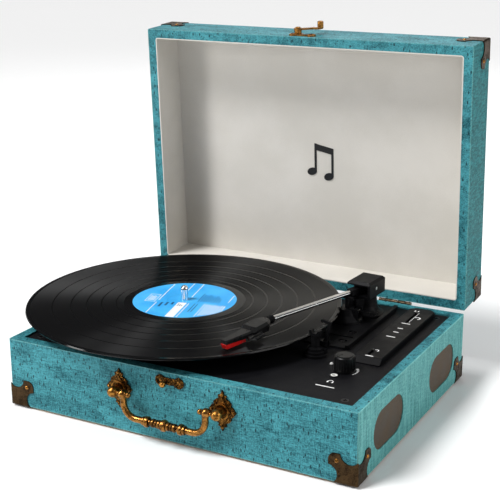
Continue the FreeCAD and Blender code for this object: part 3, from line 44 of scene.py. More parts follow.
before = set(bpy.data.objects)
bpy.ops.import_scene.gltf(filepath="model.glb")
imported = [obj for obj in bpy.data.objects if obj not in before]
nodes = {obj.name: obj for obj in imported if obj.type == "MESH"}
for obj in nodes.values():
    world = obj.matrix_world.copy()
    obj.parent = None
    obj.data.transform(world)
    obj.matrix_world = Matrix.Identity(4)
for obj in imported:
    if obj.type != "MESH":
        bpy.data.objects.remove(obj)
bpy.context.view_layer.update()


# ---- node tree helpers ------------------------------------------------------------------------
class Tree:
    """A material's node tree with short calls for the nodes this scene uses."""

    def __init__(self, name):
        self.mat = bpy.data.materials.new(name)
        self.mat.use_nodes = True
        self.tree = self.mat.node_tree
        self.tree.nodes.clear()
        self.out = self.tree.nodes.new("ShaderNodeOutputMaterial")
        self.shader = self.tree.nodes.new("ShaderNodeBsdfPrincipled")
        self.tree.links.new(self.shader.outputs[0], self.out.inputs[0])
        self.coord = self.tree.nodes.new("ShaderNodeTexCoord").outputs["Object"]

    def put(self, socket, value):
        if isinstance(value, bpy.types.NodeSocket):
            self.tree.links.new(value, socket)
        elif value is not None:
            if socket.type == "RGBA" and len(value) == 3:
                value = (*value, 1.0)
            socket.default_value = value

    def math(self, kind, a, b=0.0, c=0.0, clamp=False):
        node = self.tree.nodes.new("ShaderNodeMath")
        node.operation = kind
        node.use_clamp = clamp
        for socket, value in zip(node.inputs, (a, b, c)):
            self.put(socket, value)
        return node.outputs[0]

    def total(self, *terms):
        """The sum of each value times its weight."""
        total = None
        for value, weight in terms:
            part = self.math("MULTIPLY", value, weight)
            total = part if total is None else self.math("ADD", total, part)
        return total

    def distance(self, a, b, centre_a, centre_b):
        """How far two coordinates lie from a centre line."""
        da = self.math("SUBTRACT", a, centre_a)
        db = self.math("SUBTRACT", b, centre_b)
        squares = self.math("ADD", self.math("MULTIPLY", da, da), self.math("MULTIPLY", db, db))
        return self.math("SQRT", squares)

    def split(self, vector):
        node = self.tree.nodes.new("ShaderNodeSeparateXYZ")
        self.put(node.inputs[0], vector)
        return node.outputs

    def join(self, x, y, z=0.0):
        node = self.tree.nodes.new("ShaderNodeCombineXYZ")
        for socket, value in zip(node.inputs, (x, y, z)):
            self.put(socket, value)
        return node.outputs[0]

    def turn(self, vector, centre, axis, angle):
        node = self.tree.nodes.new("ShaderNodeVectorRotate")
        node.rotation_type = axis
        self.put(node.inputs["Vector"], vector)
        node.inputs["Center"].default_value = centre
        node.inputs["Angle"].default_value = angle
        return node.outputs[0]

    def scale(self, vector, size):
        """The vector divided by a size in millimetres along each axis."""
        node = self.tree.nodes.new("ShaderNodeVectorMath")
        node.operation = "MULTIPLY"
        self.put(node.inputs[0], vector)
        node.inputs[1].default_value = [1000.0 / s for s in size]
        return node.outputs[0]

    def noise(self, vector, size, detail=3.0, rough=0.55, distort=0.0):
        node = self.tree.nodes.new("ShaderNodeTexNoise")
        self.put(node.inputs["Vector"], self.scale(vector, size))
        node.inputs["Scale"].default_value = 1.0
        node.inputs["Detail"].default_value = detail
        node.inputs["Roughness"].default_value = rough
        node.inputs["Distortion"].default_value = distort
        return node.outputs["Fac"]

    def cells(self, vector, size, what="Color", metric="CHEBYCHEV", randomness=1.0, flat=False):
        node = self.tree.nodes.new("ShaderNodeTexVoronoi")
        node.distance = metric
        node.voronoi_dimensions = "2D" if flat else "3D"
        self.put(node.inputs["Vector"], self.scale(vector, size))
        node.inputs["Scale"].default_value = 1.0
        node.inputs["Randomness"].default_value = randomness
        return node.outputs[what]

    def ramp(self, value, low, high, to_low=0.0, to_high=1.0):
        node = self.tree.nodes.new("ShaderNodeMapRange")
        node.interpolation_type = "SMOOTHSTEP"
        self.put(node.inputs["Value"], value)
        node.inputs["From Min"].default_value = low
        node.inputs["From Max"].default_value = high
        node.inputs["To Min"].default_value = to_low
        node.inputs["To Max"].default_value = to_high
        return node.outputs[0]

    def mix(self, fac, a, b):
        node = self.tree.nodes.new("ShaderNodeMix")
        node.data_type = "RGBA"
        self.put(node.inputs[0], fac)
        self.put(node.inputs[6], a)
        self.put(node.inputs[7], b)
        return node.outputs[2]

    def bump(self, height, strength, distance):
        node = self.tree.nodes.new("ShaderNodeBump")
        node.inputs["Strength"].default_value = strength
        node.inputs["Distance"].default_value = distance * MM
        self.put(node.inputs["Height"], height)
        self.put(self.shader.inputs["Normal"], node.outputs[0])

    def set(self, **values):
        names = {"color": "Base Color", "rough": "Roughness", "metal": "Metallic", "coat": "Coat Weight",
                 "sheen": "Sheen Weight", "aniso": "Anisotropic", "aniso_turn": "Anisotropic Rotation",
                 "spec": "Specular IOR Level", "tangent": "Tangent"}
        for key, value in values.items():
            self.put(self.shader.inputs[names[key]], value)
        return self.mat


def srgb(r, g, b):
    """Linear colour from 0 to 255 display values."""
    return tuple((c / 12.92 if c <= 0.04045 else ((c + 0.055) / 1.055) ** 2.4)
                 for c in (r / 255, g / 255, b / 255))


# ---- materials --------------------------------------------------------------------------------
TEAL_LOW, TEAL_HIGH = srgb(9, 66, 76), srgb(74, 156, 166)
# Side faces: the base's sides are painted lighter as painted light, and the lid's sides are painted darker as
# painted shade.
PAINTED_LIGHT_FLANK_LOW, PAINTED_LIGHT_FLANK_HIGH = srgb(52, 124, 125), srgb(108, 178, 176)
PAINTED_SHADE_LID_FLANK_LOW, PAINTED_SHADE_LID_FLANK_HIGH = srgb(8, 72, 77), srgb(44, 130, 134)


def cover(name, lid=False):
    """Teal cork-look paper: fine crossed fibres, dark upright flecks and streaks down the sides; the sides
    are painted lighter on the base as painted light and darker on the lid as painted shade, and every edge is
    painted paler as a painted highlight mixed with rubbed wear.
    """
    t = Tree(name)
    at = t.turn(t.coord, (0.0, HINGE_Y, RIM_Z), "X_AXIS", LID_OPEN) if lid else t.coord
    x, y, z = t.split(at)
    low, high = (RIM_Z, RIM_Z + LID_H) if lid else (FOOT_H, RIM_Z)
    a = t.math("SUBTRACT", HALF_W, t.math("ABSOLUTE", x))
    b = t.math("SUBTRACT", HALF_D, t.math("ABSOLUTE", y))
    c = t.math("MINIMUM", t.math("SUBTRACT", high, z), t.math("SUBTRACT", z, low))
    edge = t.math("MAXIMUM", t.math("MINIMUM", a, b), t.math("MINIMUM", t.math("MAXIMUM", a, b), c))
    painted_side_mask = t.ramp(a, 0.0004, 0.0011, 1.0, 0.0)

    grain = t.noise(at, (1.2, 1.2, 1.2), 2.5, 0.65)
    up = t.noise(at, (0.8, 0.8, 7.5), 3.0, 0.6)
    across = t.noise(at, (7.0, 7.0, 0.75), 3.0, 0.6)
    cloud = t.noise(at, (20, 20, 12), 3.0, 0.55)
    patch = t.split(t.cells(at, (30, 28, 12)))[0]
    tone = t.total((grain, 0.36), (up, 0.32), (across, 0.32), (cloud, 0.15), (patch, 0.07))
    tone = t.ramp(tone, 0.44, 0.76)
    base = t.mix(tone, TEAL_LOW, TEAL_HIGH)

    level = t.ramp(c, 0.0003, 0.0007, 1.0, 0.0)
    wall = t.math("SUBTRACT", 1.0, level)
    along = t.math("ADD", x, t.math("MULTIPLY", y, wall))
    along = t.math("ADD", along, t.math("MULTIPLY", grain, 0.0014))
    spot = t.join(along, t.math("ADD", t.math("MULTIPLY", z, wall), t.math("MULTIPLY", y, level)))
    fleck = t.ramp(t.cells(spot, (7.0, 17.0, 1.0), "Distance", "EUCLIDEAN", 1.0, True), 0.075, 0.12, 1.0, 0.0)
    short = t.ramp(t.cells(spot, (4.5, 7.0, 1.0), "Distance", "EUCLIDEAN", 1.0, True), 0.09, 0.16, 1.0, 0.0)
    short = t.math("MULTIPLY", short, t.ramp(cloud, 0.48, 0.62))
    fleck = t.math("MULTIPLY", t.math("MAXIMUM", fleck, short), t.ramp(across, 0.30, 0.50, 0.35, 1.0))
    base = t.mix(t.math("MULTIPLY", fleck, 0.85), base, srgb(7, 34, 42))

    streak = t.noise(at, (1.7, 1.7, 6.0 if lid else 30.0), 4.0, 0.6)
    side_tone = t.ramp(t.total((streak, 0.45), (grain, 0.25), (across, 0.30)), 0.38, 0.62)
    # The left and right faces take painted light on the base and painted shade on the lid, over the streaks.
    painted_light_low, painted_light_high = (PAINTED_SHADE_LID_FLANK_LOW, PAINTED_SHADE_LID_FLANK_HIGH) if lid else (PAINTED_LIGHT_FLANK_LOW, PAINTED_LIGHT_FLANK_HIGH)
    base = t.mix(painted_side_mask, base, t.mix(side_tone, painted_light_low, painted_light_high))

    # Every edge is painted paler: a painted highlight along the edges, broken up like rubbed wear.
    edge_wear_and_highlight = t.math("MULTIPLY", t.ramp(edge, 0.0004, 0.0012, 1.0, 0.0), t.ramp(up, 0.40, 0.62, 0.25, 0.8))
    base = t.mix(t.math("MULTIPLY", edge_wear_and_highlight, 0.55), base, srgb(140, 205, 203))
    upright = t.ramp(t.math("MAXIMUM", a, b), 0.0002, 0.0009, 1.0, 0.0)
    base = t.mix(t.math("MULTIPLY", upright, t.ramp(across, 0.35, 0.55, 0.5, 0.95)), base, srgb(52, 58, 40))
    t.bump(t.math("SUBTRACT", t.math("ADD", up, t.math("MULTIPLY", grain, 0.6)), fleck), 0.30, 0.22)
    return t.set(color=base, rough=t.ramp(tone, 0.0, 1.0, 0.66, 0.54), spec=0.2)


def moulded(name, color, rough=0.5, grain=0.5, bump=0.12, shift=0.25, spec=0.45, coat=0.0, spread=18.0):
    """Moulded or painted surface: fine grain, slow changes of tone and uneven gloss."""
    t = Tree(name)
    fine = t.noise(t.coord, (grain, grain, grain), 3.0, 0.6)
    slow = t.noise(t.coord, (spread, spread, spread), 3.0, 0.55)
    lighter = tuple(min(1.0, c * (1 + shift) + 0.002) for c in color)
    darker = tuple(c * (1 - shift) for c in color)
    tone = t.total((slow, 0.6), (fine, 0.4))
    t.bump(fine, bump, 0.12)
    return t.set(color=t.mix(t.ramp(tone, 0.35, 0.65), darker, lighter), spec=spec, coat=coat,
                 rough=t.ramp(slow, 0.3, 0.7, rough - 0.05, rough + 0.07))


def metal(name, bright, dark, rough=0.3, brushed=None, tarnish=0.5, bump=0.15, size=2.2, recess=None):
    """Metal with patchy tarnish, small scratches and uneven gloss.

    With a recess it is also dark close to the case ("plate"), or in the grooves between the handle's
    beads ("bail").
    """
    t = Tree(name)
    patch = t.noise(t.coord, (size * 3, size * 3, size * 3), 4.0, 0.65, 0.4)
    fine = t.noise(t.coord, brushed or (size * 0.35, size * 0.35, size * 0.35), 3.0, 0.65)
    tone = t.total((patch, 0.6), (fine, 0.4))
    mask = t.ramp(tone, 0.50 - tarnish * 0.30, 0.50 + tarnish * 0.18)
    if recess:
        x, y, z = t.split(t.coord)
        proud = t.ramp(y, -0.1330, -0.1288, 1.0, 0.0)
        if recess == "bail":
            r = t.distance(y, z, HANDLE_Y, HANDLE_Z)
            outer = t.ramp(t.math("ABSOLUTE", x), 0.022, 0.023)
            proud = t.math("MAXIMUM", t.ramp(r, 0.0034, 0.0042), outer)
        speck = t.ramp(t.noise(t.coord, (1.1, 1.1, 1.1), 2.0, 0.6), 0.50, 0.62, 0.0, 0.75)
        mask = t.math("MULTIPLY", mask, t.math("MAXIMUM", proud, speck))
    t.bump(t.math("ADD", fine, t.math("MULTIPLY", patch, 0.6)), bump, 0.2)
    return t.set(color=t.mix(mask, dark, bright), metal=1.0,
                 rough=t.ramp(mask, 0.0, 1.0, rough + 0.22, rough - 0.04))


def vinyl():
    """Pressed vinyl: fine grooves round the spindle, track gaps, a smooth run-out and long reflections."""
    t = Tree("vinyl_grooved")
    x, y, _ = t.split(t.coord)
    r = t.distance(x, y, DISC.x, DISC.y)
    coarse = t.tree.nodes.new("ShaderNodeTexNoise")
    coarse.noise_dimensions = "1D"
    t.put(coarse.inputs["W"], t.math("MULTIPLY", r, 420.0))
    coarse.inputs["Detail"].default_value = 6.0
    coarse.inputs["Roughness"].default_value = 0.75
    groove = coarse.outputs["Fac"]
    wave = t.math("SINE", t.math("MULTIPLY", r, 2 * math.pi * 1000.0 / 0.9))
    gaps = None
    for radius in TRACK_GAPS:
        here = t.ramp(t.math("ABSOLUTE", t.math("SUBTRACT", r, radius)), 0.0004, 0.0010, 1.0, 0.0)
        gaps = here if gaps is None else t.math("MAXIMUM", gaps, here)
    run_out = t.ramp(r, *RUN_OUT, 1.0, 0.0)
    lead_in = t.ramp(r, *LEAD_IN)
    smooth = t.math("MAXIMUM", gaps, t.math("MAXIMUM", run_out, lead_in))
    relief = t.math("ADD", groove, t.math("MULTIPLY", wave, 0.25))
    height = t.math("MULTIPLY", relief, t.math("SUBTRACT", 1.0, smooth))
    t.bump(height, 0.10, 0.01)
    dust = t.ramp(t.noise(t.coord, (1.6, 1.6, 1.6), 2.0), 0.72, 0.80)
    base = t.mix(t.math("MULTIPLY", groove, 0.8), srgb(1, 1, 2), srgb(8, 8, 9))
    base = t.mix(t.math("MULTIPLY", dust, 0.18), base, srgb(60, 60, 62))
    tangent = t.tree.nodes.new("ShaderNodeTangent")
    tangent.direction_type = "RADIAL"
    tangent.axis = "Z"
    return t.set(color=base, rough=t.ramp(smooth, 0.0, 1.0, 0.42, 0.14), aniso=0.97, aniso_turn=0.25,
                 tangent=tangent.outputs[0], spec=0.17)


def lining():
    """Off-white pressed paper lining with a pebbled grain and faint clouding."""
    t = Tree("lining_paper")
    pebble = t.cells(t.coord, (1.1, 1.1, 1.1), "Distance", "EUCLIDEAN")
    fine = t.noise(t.coord, (0.8, 0.8, 0.8), 3.0)
    cloud = t.noise(t.coord, (60, 60, 60), 3.0, 0.5)
    tone = t.total((cloud, 0.7), (fine, 0.3))
    base = t.mix(t.ramp(tone, 0.35, 0.65), srgb(205, 201, 193), srgb(214, 210, 203))
    t.bump(t.math("ADD", pebble, fine), 0.22, 0.2)
    return t.set(color=base, rough=t.ramp(fine, 0.3, 0.7, 0.66, 0.8), spec=0.3)


def grille():
    """Woven brown speaker cloth behind a fine mesh."""
    t = Tree("speaker_mesh")
    _, y, z = t.split(t.coord)
    holes = None
    for axis in (y, z):
        line = t.math("SINE", t.math("MULTIPLY", axis, 2 * math.pi * 1000.0 / 1.3))
        holes = line if holes is None else t.math("MULTIPLY", holes, line)
    hole = t.ramp(holes, 0.05, 0.45)
    slow = t.noise(t.coord, (14, 14, 14), 3.0)
    base = t.mix(t.ramp(slow, 0.35, 0.65), srgb(74, 61, 46), srgb(92, 76, 58))
    base = t.mix(t.math("MULTIPLY", hole, 0.8), base, srgb(22, 16, 12))
    t.bump(hole, 0.4, -0.3)
    return t.set(color=base, rough=t.ramp(slow, 0.3, 0.7, 0.55, 0.7), metal=0.25, spec=0.4)


def wood():
    """The case's fibreboard, with the covering's teal turned over its top rim."""
    t = Tree("case_board")
    rings = t.noise(t.coord, (40, 3.5, 3.5), 5.0, 0.65, 0.8)
    pores = t.noise(t.coord, (9, 0.6, 0.6), 3.0, 0.6)
    base = t.mix(t.ramp(rings, 0.35, 0.65), srgb(150, 112, 72), srgb(196, 160, 112))
    base = t.mix(t.ramp(pores, 0.60, 0.75, 0.0, 0.5), base, srgb(96, 66, 40))
    z = t.split(t.coord)[2]
    rim = t.math("MULTIPLY", t.ramp(z, 0.0622, 0.0628), t.ramp(z, 0.0668, 0.0672, 1.0, 0.0))
    base = t.mix(rim, base, t.mix(pores, srgb(18, 68, 76), srgb(52, 122, 128)))
    t.bump(rings, 0.2, 0.2)
    return t.set(color=base, rough=t.ramp(pores, 0.3, 0.7, 0.6, 0.75))


def socket_glint_ring():
    """The headphone socket: its metal ring painted white as a painted highlight, inside a black collar."""
    t = Tree("socket_glint_ring")
    x, y, _ = t.split(t.coord)
    r = t.distance(x, y, JACK.x, JACK.y)
    fine = t.noise(t.coord, (0.7, 0.7, 0.7), 3.0)
    # Inside the ring's radius the colour is white: a painted highlight standing in for the metal ring's
    # glint.
    white = t.mix(fine, srgb(222, 222, 218), srgb(236, 236, 232))
    base = t.mix(t.ramp(r, *JACK_GLINT_RING), white, srgb(14, 14, 16))
    t.bump(fine, 0.08, 0.1)
    return t.set(color=base, rough=t.ramp(fine, 0.3, 0.7, 0.32, 0.44), spec=0.4)


def felt():
    """Black felt of the slip mat, with a short nap."""
    t = Tree("mat_felt")
    hair = t.noise(t.coord, (0.5, 0.5, 0.5), 5.0, 0.75)
    slow = t.noise(t.coord, (12, 12, 12), 3.0)
    t.bump(hair, 0.6, 0.4)
    base = t.mix(t.ramp(hair, 0.3, 0.7), srgb(14, 14, 15), srgb(42, 42, 44))
    return t.set(color=base, rough=t.ramp(slow, 0.3, 0.7, 0.88, 0.97), sheen=0.4)


def label_paper():
    """Blue label paper with a pressed ring."""
    t = Tree("label_paper")
    fine = t.noise(t.coord, (0.7, 0.7, 0.7), 3.0)
    slow = t.noise(t.coord, (22, 22, 22), 2.0)
    base = t.mix(t.ramp(slow, 0.35, 0.65), srgb(48, 166, 238), srgb(66, 182, 250))
    x, y, _ = t.split(t.coord)
    r = t.distance(x, y, DISC.x, DISC.y)
    press = t.ramp(t.math("ABSOLUTE", t.math("SUBTRACT", r, PRESSED_RING_R)), 0.0003, 0.0008, 1.0, 0.0)
    base = t.mix(t.math("MULTIPLY", press, 0.25), base, srgb(30, 120, 190))
    t.bump(t.math("SUBTRACT", t.math("MULTIPLY", fine, 0.3), press), 0.25, 0.15)
    return t.set(color=base, rough=t.ramp(fine, 0.3, 0.7, 0.42, 0.52), spec=0.4)


def fixings():
    """Blackened deck screws; the pivot screw up on the arm housing is painted near-white as a painted glint.
    """
    t = Tree("deck_fixings")
    z = t.split(t.coord)[2]
    # Above this height the screw is painted near-white: a painted glint on the pivot screw.
    bright = t.ramp(z, 0.086, 0.088)
    fine = t.noise(t.coord, (0.8, 0.8, 0.8), 3.0)
    base = t.mix(bright, srgb(34, 34, 36), srgb(235, 235, 232))
    base = t.mix(t.ramp(fine, 0.5, 0.7, 0.0, 0.35), base, srgb(80, 80, 82))
    t.bump(fine, 0.15, 0.1)
    return t.set(color=base, metal=0.8, rough=t.ramp(fine, 0.3, 0.7, 0.28, 0.42))


BLACK = srgb(9, 9, 11)
MATERIALS = {
    "teal_base": cover("teal_base"),
    "teal_lid": cover("teal_lid", lid=True),
    "plastic": moulded("black_plastic", BLACK, 0.42, 0.6, 0.15, spec=0.09),
    "plastic_gloss": moulded("black_gloss_plastic", srgb(6, 6, 7), 0.30, 1.2, 0.05, 0.2, 0.25),
    "deck": moulded("black_deck", srgb(14, 14, 17), 0.50, 0.55, 0.2, 0.18, 0.10, 0.0, 40.0),
    "board": moulded("black_board", srgb(30, 27, 25), 0.7, 1.2, 0.3),
    "rubber": moulded("rubber", srgb(18, 18, 18), 0.75, 0.7, 0.25, spec=0.25),
    "jack": socket_glint_ring(),
    "red": moulded("red_plastic", srgb(206, 22, 20), 0.28, 0.9, 0.05, 0.15, 0.5, 0.3),
    "led": moulded("led_lens", srgb(222, 222, 220), 0.2, 0.9, 0.04, 0.05, 0.5, 0.5),
    "print_white": moulded("white_print", srgb(240, 240, 240), 0.55, 0.4, 0.08, 0.05),
    "print_blue": moulded("dark_print", srgb(16, 84, 132), 0.55, 0.4, 0.08, 0.12),
    "badge": moulded("badge_black", srgb(14, 14, 15), 0.36, 0.9, 0.08, 0.3, 0.3),
    "circuit": moulded("circuit_board", srgb(26, 92, 48), 0.4, 1.0, 0.1),
    "paper": moulded("cone_paper", srgb(34, 34, 34), 0.85, 0.5, 0.4),
    "brass": metal("antique_brass", srgb(178, 124, 60), srgb(30, 18, 9), 0.28, None, 0.50, 0.5, 1.0),
    "brass_plate": metal("antique_plate", srgb(186, 130, 60), srgb(24, 15, 8), 0.30, None, 0.45, 0.5, 0.9,
                         "plate"),
    "brass_bail": metal("antique_bail", srgb(176, 122, 60), srgb(30, 18, 9), 0.24, None, 0.50, 0.35, 1.6,
                        "bail"),
    "hinge": metal("dark_hinge", srgb(74, 62, 48), srgb(26, 20, 15), 0.40, None, 0.5, 0.3, 1.2),
    "guard": metal("guard_bronze", srgb(76, 58, 38), srgb(32, 25, 17), 0.46, None, 0.6, 0.15, 2.6),
    "bush": metal("turned_brass", srgb(214, 176, 96), srgb(150, 112, 52), 0.28, None, 0.3, 0.1),
    "steel": metal("plated_steel", srgb(205, 205, 205), srgb(140, 140, 140), 0.32, None, 0.3, 0.1),
    "dark_steel": metal("dark_steel", srgb(52, 52, 54), srgb(24, 24, 26), 0.4, None, 0.4, 0.12),
    "chrome": metal("chrome", srgb(240, 240, 240), srgb(222, 222, 220), 0.12, (9.0, 9.0, 9.0), 0.3, 0.0, 8.0),
    "vinyl": vinyl(), "lining": lining(), "grille": grille(), "wood": wood(), "felt": felt(),
    "label": label_paper(), "fixings": fixings(),
}
LOOKS = {
    "teal_base": ["base_wrap"],
    "teal_lid": ["lid_wrap"],
    "wood": ["base_carcass", "lid_carcass"],
    "board": ["bottom_panel"],
    "steel": ["case_screws", "drive_motor", "audio_sockets"],
    "rubber": ["rubber_feet", "drive_belt"],
    "guard": ["base_corner_guards", "lid_corner_guards"],
    "brass_bail": ["handle_bail"],
    "brass": ["latch_plate", "latch_hook", "base_trim_nails", "lid_trim_nails"],
    "brass_plate": ["handle_plates", "latch_keeper"],
    "hinge": ["hinge_base_leaves", "hinge_lid_leaves"],
    "deck": ["deck_plate"],
    "fixings": ["deck_screws"],
    "bush": ["bearing_bushes", "motor_pulley"],
    "plastic": ["tonearm_plate", "tonearm_pedestal", "tonearm_housing", "arm_rest", "control_panel",
                "control_switches", "socket_plate", "dc_inlet", "platter", "lift_platform", "arm_knuckle",
                "head_collar", "rest_clip"],
    "plastic_gloss": ["headshell", "cartridge", "volume_knob", "speed_slider", "autostop_slider",
                      "cue_lever"],
    "dark_steel": ["tonearm_yoke", "counterweight", "speaker_frames"],
    "chrome": ["spindle", "arm_tube"],
    "jack": ["headphone_jack"],
    "led": ["power_led"],
    "grille": ["speaker_grilles"],
    "paper": ["speaker_cones"],
    "circuit": ["main_board"],
    "felt": ["slip_mat"],
    "vinyl": ["vinyl_record"],
    "label": ["record_label"],
    "red": ["stylus"],
    "lining": ["lid_lining"],
    "badge": ["lid_badge"],
}
for look, names in LOOKS.items():
    for name in names:
        piece = nodes[name]
        piece.data.materials.clear()
        piece.data.materials.append(MATERIALS[look])


# ---- printed marks ----------------------------------------------------------------------------
def bar(mesh, centre, along_dir, length, width, height):
    """Adds one thin closed bar lying flat: centre, unit direction, length, width and height in metres."""
    u = Vector(along_dir).normalized()
    v = Vector((-u.y, u.x, 0))
    corners = []
    for top in (0, 1):
        for a, b in ((-1, -1), (1, -1), (1, 1), (-1, 1)):
            corners.append(mesh.verts.new(centre + u * (a * length / 2) + v * (b * width / 2)
                                          + Vector((0, 0, top * height))))
    for quad in ((3, 2, 1, 0), (4, 5, 6, 7), (0, 1, 5, 4), (1, 2, 6, 5), (2, 3, 7, 6), (3, 0, 4, 7)):
        mesh.faces.new([corners[i] for i in quad])


def band(mesh, centre, r_in, r_out, start, stop, height, steps=24):
    """Adds a thin closed arc lying flat, from start to stop in degrees."""
    rows = []
    for k in range(steps + 1):
        a = math.radians(start + (stop - start) * k / steps)
        d = Vector((math.cos(a), math.sin(a), 0))
        rows.append([mesh.verts.new(centre + d * r + Vector((0, 0, h)))
                     for r, h in ((r_in, 0), (r_out, 0), (r_out, height), (r_in, height))])
    full = abs(stop - start) >= 360
    if full:
        for vert in rows[-1]:
            mesh.verts.remove(vert)
        rows[-1] = rows[0]
    for one, two in zip(rows, rows[1:]):
        for i in range(4):
            j = (i + 1) % 4
            mesh.faces.new((one[i], two[i], two[j], one[j]))
    if not full:
        mesh.faces.new(rows[0])
        mesh.faces.new(rows[-1][::-1])


def marks(name, look, body, draw):
    """One printed group of marks: draw fills its mesh."""
    work = bmesh.new()
    draw(work)
    bmesh.ops.recalc_face_normals(work, faces=work.faces)
    mesh = bpy.data.meshes.new(name)
    work.to_mesh(mesh)
    work.free()
    piece = bpy.data.objects.new(name, mesh)
    bpy.context.collection.objects.link(piece)
    mesh.materials.append(MATERIALS[look])
    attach(piece, body)
    return piece


LABEL_U = Vector((math.cos(CAMERA_YAW), math.sin(CAMERA_YAW), 0))
LABEL_V = Vector((-math.sin(CAMERA_YAW), math.cos(CAMERA_YAW), 0))
LEAN = math.radians(75)
ROW_DIR = LABEL_U * math.cos(LEAN) + LABEL_V * math.sin(LEAN)
COL_DIR = LABEL_U * math.sin(LEAN) - LABEL_V * math.cos(LEAN)
LABEL_TOP = RECORD_TOP + LABEL_T


def label_bar(mesh, col, low, high, width, lift=0.0):
    """A printed bar on the label: its column, its ends along the rows and its width, in millimetres."""
    limit = math.sqrt(max(0.0, LABEL_R ** 2 - col ** 2))
    low, high = max(low, -limit), min(high, limit)
    centre = DISC + COL_DIR * (col * MM) + ROW_DIR * ((low + high) / 2 * MM)
    centre = centre + Vector((0, 0, LABEL_TOP + lift))
    bar(mesh, centre, ROW_DIR, (high - low) * MM, width * MM, INK)


def label_white(mesh):
    """White rules, a title block and lines of text shown as plain bars, with a small framed box."""
    for col, low, high in ((-24.2, -43.5, -12.0), (-24.2, -6.5, 43.5), (-5.4, 8.0, 49.0), (4.4, 8.0, 49.0),
                           (7.3, -48.5, -9.5), (22.6, -43.0, -6.5), (43.2, 1.0, 23.0)):
        label_bar(mesh, col, low, high, 0.75)
    label_bar(mesh, 0.6, -49.0, -8.5, 8.6)
    for k in range(8):
        label_bar(mesh, 25.6 + 2.5 * k, -40.0 + 1.5 * k, -8.0 - 1.1 * (k % 3), 1.1)
    for col in (-36.6, -27.0):
        label_bar(mesh, col, -11.8, 9.0, 0.6)
    for row in (-11.6, 8.8):
        centre = DISC + COL_DIR * (-31.8 * MM) + ROW_DIR * (row * MM) + Vector((0, 0, LABEL_TOP + INK * 0.2))
        bar(mesh, centre, COL_DIR, 9.4 * MM, 0.6 * MM, INK)
    for k in range(4):
        label_bar(mesh, -34.4 + 1.7 * k, -8.5, 5.5 - 2.2 * (k % 2), 0.8)


def label_dark(mesh):
    """Dark lines of text shown as plain bars."""
    for k in range(9):
        label_bar(mesh, 14.0 + 2.5 * k, -2.5 + 0.8 * (k % 2), 22.0 - 3.5 * (k % 3) - 0.8 * k, 0.9)
    for col in (13.2, 16.0):
        label_bar(mesh, col, -32.0, -9.0, 0.9)
    for k in range(3):
        label_bar(mesh, -18.5 + 5.2 * k, -24.0 + 4.0 * k, -12.0 + 1.5 * k, 2.2)
    for k in range(3):
        label_bar(mesh, -1.6 + 2.0 * k, -19.0, -12.0 - 1.4 * k, 0.7, INK)


marks("label_marks_white", "print_white", "platter", label_white)
marks("label_marks_dark", "print_blue", "platter", label_dark)


def panel_marks(mesh):
    """Scale lines beside the two slide switches, and a thin rule along each slot."""
    z = PANEL_TOP
    side = Vector((1, 0, 0))
    for y, length in ((66.9, 8.5), (52.6, 5.2), (41.8, 5.2), (28.9, 8.5)):
        bar(mesh, Vector((0.138, y * MM, z)), side, length * MM, 1.4 * MM, INK)
    for x in (133.6, 136.8):
        bar(mesh, Vector((x * MM, 0.1035, z)), (0, 1, 0), 3.0 * MM, 1.2 * MM, INK)
    bar(mesh, Vector((0.1392, 0.0855, z)), (0, 1, 0), 28.0 * MM, 0.35 * MM, INK)
    band(mesh, Vector((0.1425, 0.0847, z)), 2.2 * MM, 3.3 * MM, -70, 160, INK)
    bar(mesh, Vector((0.1388, -0.0228, z)), side, 7.4 * MM, 1.6 * MM, INK)
    band(mesh, Vector((0.1399, -0.0087, z)), 1.3 * MM, 2.3 * MM, -60, 150, INK)


def deck_marks(mesh):
    """Headphone sign, the volume knob's ring of marks and a plain rule."""
    z = DECK_Z
    centre = Vector((0.1274, -0.0782, z))
    band(mesh, centre, 1.8 * MM, 2.5 * MM, 0, 180, INK)
    for side in (-1, 1):
        bar(mesh, centre + Vector((side * 2.2 * MM, -1.1 * MM, 0)), (0, 1, 0), 2.6 * MM, 1.3 * MM, INK)
    bar(mesh, Vector((0.1273, -0.0894, z)), (1, 0, 0), 17.0 * MM, 1.3 * MM, INK)
    for k in range(5):
        start = -30 + 16 * k
        band(mesh, Vector((KNOB.x, KNOB.y, z)), 10.4 * MM, (11.0 + 0.45 * k) * MM, start, start + 14, INK, 6)


marks("panel_marks", "print_white", "base", panel_marks)
marks("deck_marks", "print_white", "base", deck_marks)


# ---- floor, light and camera ------------------------------------------------------------------
floor_mesh = bpy.data.meshes.new("floor")
work = bmesh.new()
bmesh.ops.create_grid(work, x_segments=2, y_segments=2, size=40.0)
work.to_mesh(floor_mesh)
work.free()
floor = bpy.data.objects.new("floor", floor_mesh)
bpy.context.collection.objects.link(floor)
floor_tree = Tree("floor_paper")
floor_noise = floor_tree.noise(floor_tree.coord, (30, 30, 30), 2.0)
floor_color = floor_tree.mix(floor_noise, (0.95, 0.95, 0.95), (0.97, 0.97, 0.97))
floor_mesh.materials.append(floor_tree.set(color=floor_color, rough=0.9, spec=0.1))


def lamp(name, place, target, size, power):
    """A white rectangular soft light at a place, facing a target."""
    light = bpy.data.lights.new(name, "AREA")
    light.shape = "RECTANGLE"
    light.size, light.size_y = size
    light.energy = power
    item = bpy.data.objects.new(name, light)
    item.location = place
    item.rotation_euler = (Vector(target) - Vector(place)).to_track_quat("-Z", "Y").to_euler()
    bpy.context.collection.objects.link(item)


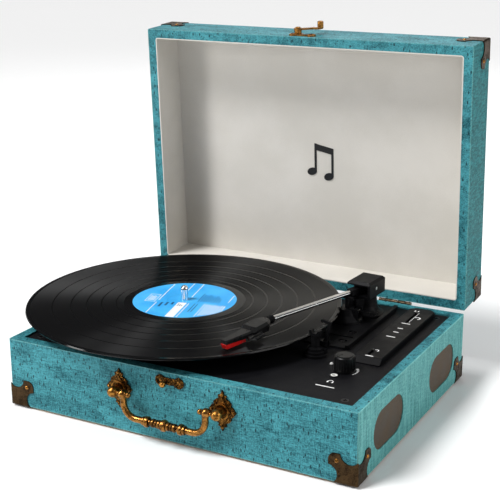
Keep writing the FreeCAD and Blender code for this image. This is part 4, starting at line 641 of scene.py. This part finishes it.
# The backdrop is white where it is seen and dim where it lights, so that the gloss stays dark.
world = bpy.data.worlds.new("studio")
bpy.context.scene.world = world
world.use_nodes = True
sky = world.node_tree
toward = sky.nodes.new("ShaderNodeTexCoord")
parts = sky.nodes.new("ShaderNodeSeparateXYZ")
rise = sky.nodes.new("ShaderNodeMapRange")
sky.links.new(toward.outputs["Generated"], parts.inputs[0])
sky.links.new(parts.outputs[2], rise.inputs["Value"])
for key, value in (("From Min", 0.30), ("From Max", 0.85), ("To Min", 0.05), ("To Max", 0.32)):
    rise.inputs[key].default_value = value
path = sky.nodes.new("ShaderNodeLightPath")
seen = sky.nodes.new("ShaderNodeMath")
seen.operation = "MAXIMUM"
sky.links.new(rise.outputs[0], seen.inputs[0])
sky.links.new(path.outputs["Is Camera Ray"], seen.inputs[1])
sky.links.new(seen.outputs[0], sky.nodes["Background"].inputs[1])
sky.nodes["Background"].inputs[0].default_value = (1.0, 1.0, 1.0, 1)

sun = bpy.data.lights.new("sun", "SUN")
sun.energy = 2.75
sun.angle = math.radians(20)
sun_item = bpy.data.objects.new("sun", sun)
sun_item.rotation_euler = Vector((0.50, 0.62, -1.10)).to_track_quat("-Z", "Y").to_euler()
bpy.context.collection.objects.link(sun_item)
lamp("left", (-0.95, -0.80, 0.50), (-0.15, -0.05, 0.08), (0.25, 0.45), 6)
lamp("top", (-0.10, 0.80, 1.30), (-0.04, 0.0, 0.1), (0.18, 0.18), 3.6)
lamp("right", (1.6, 0.1, 0.7), (0.1, 0, 0.06), (0.9, 0.9), 10)
lamp("back", (-0.7, 1.7, 1.3), (0, 0.1, 0.1), (0.9, 0.5), 6)

camera = bpy.data.cameras.new("camera")
camera.sensor_width = 36.0
camera.lens = 83.43
camera.shift_x = -0.0102
camera.shift_y = -0.0108
camera.clip_start, camera.clip_end = 0.05, 50.0
eye = bpy.data.objects.new("camera", camera)
level_forward = Vector((-math.sin(CAMERA_YAW), math.cos(CAMERA_YAW), 0))
forward = level_forward * math.cos(CAMERA_PITCH) + Vector((0, 0, -math.sin(CAMERA_PITCH)))
right = Vector((math.cos(CAMERA_YAW), math.sin(CAMERA_YAW), 0))
down = forward.cross(right)
right_r = right * math.cos(CAMERA_ROLL) + down * math.sin(CAMERA_ROLL)
down_r = down * math.cos(CAMERA_ROLL) - right * math.sin(CAMERA_ROLL)
basis = Matrix((right_r, -down_r, -forward)).transposed().to_4x4()
eye.matrix_world = Matrix.Translation(Vector(CAMERA_PLACE)) @ basis
bpy.context.collection.objects.link(eye)
scene = bpy.context.scene
scene.camera = eye
scene.view_settings.view_transform = "Standard"
scene.view_settings.look = "None"
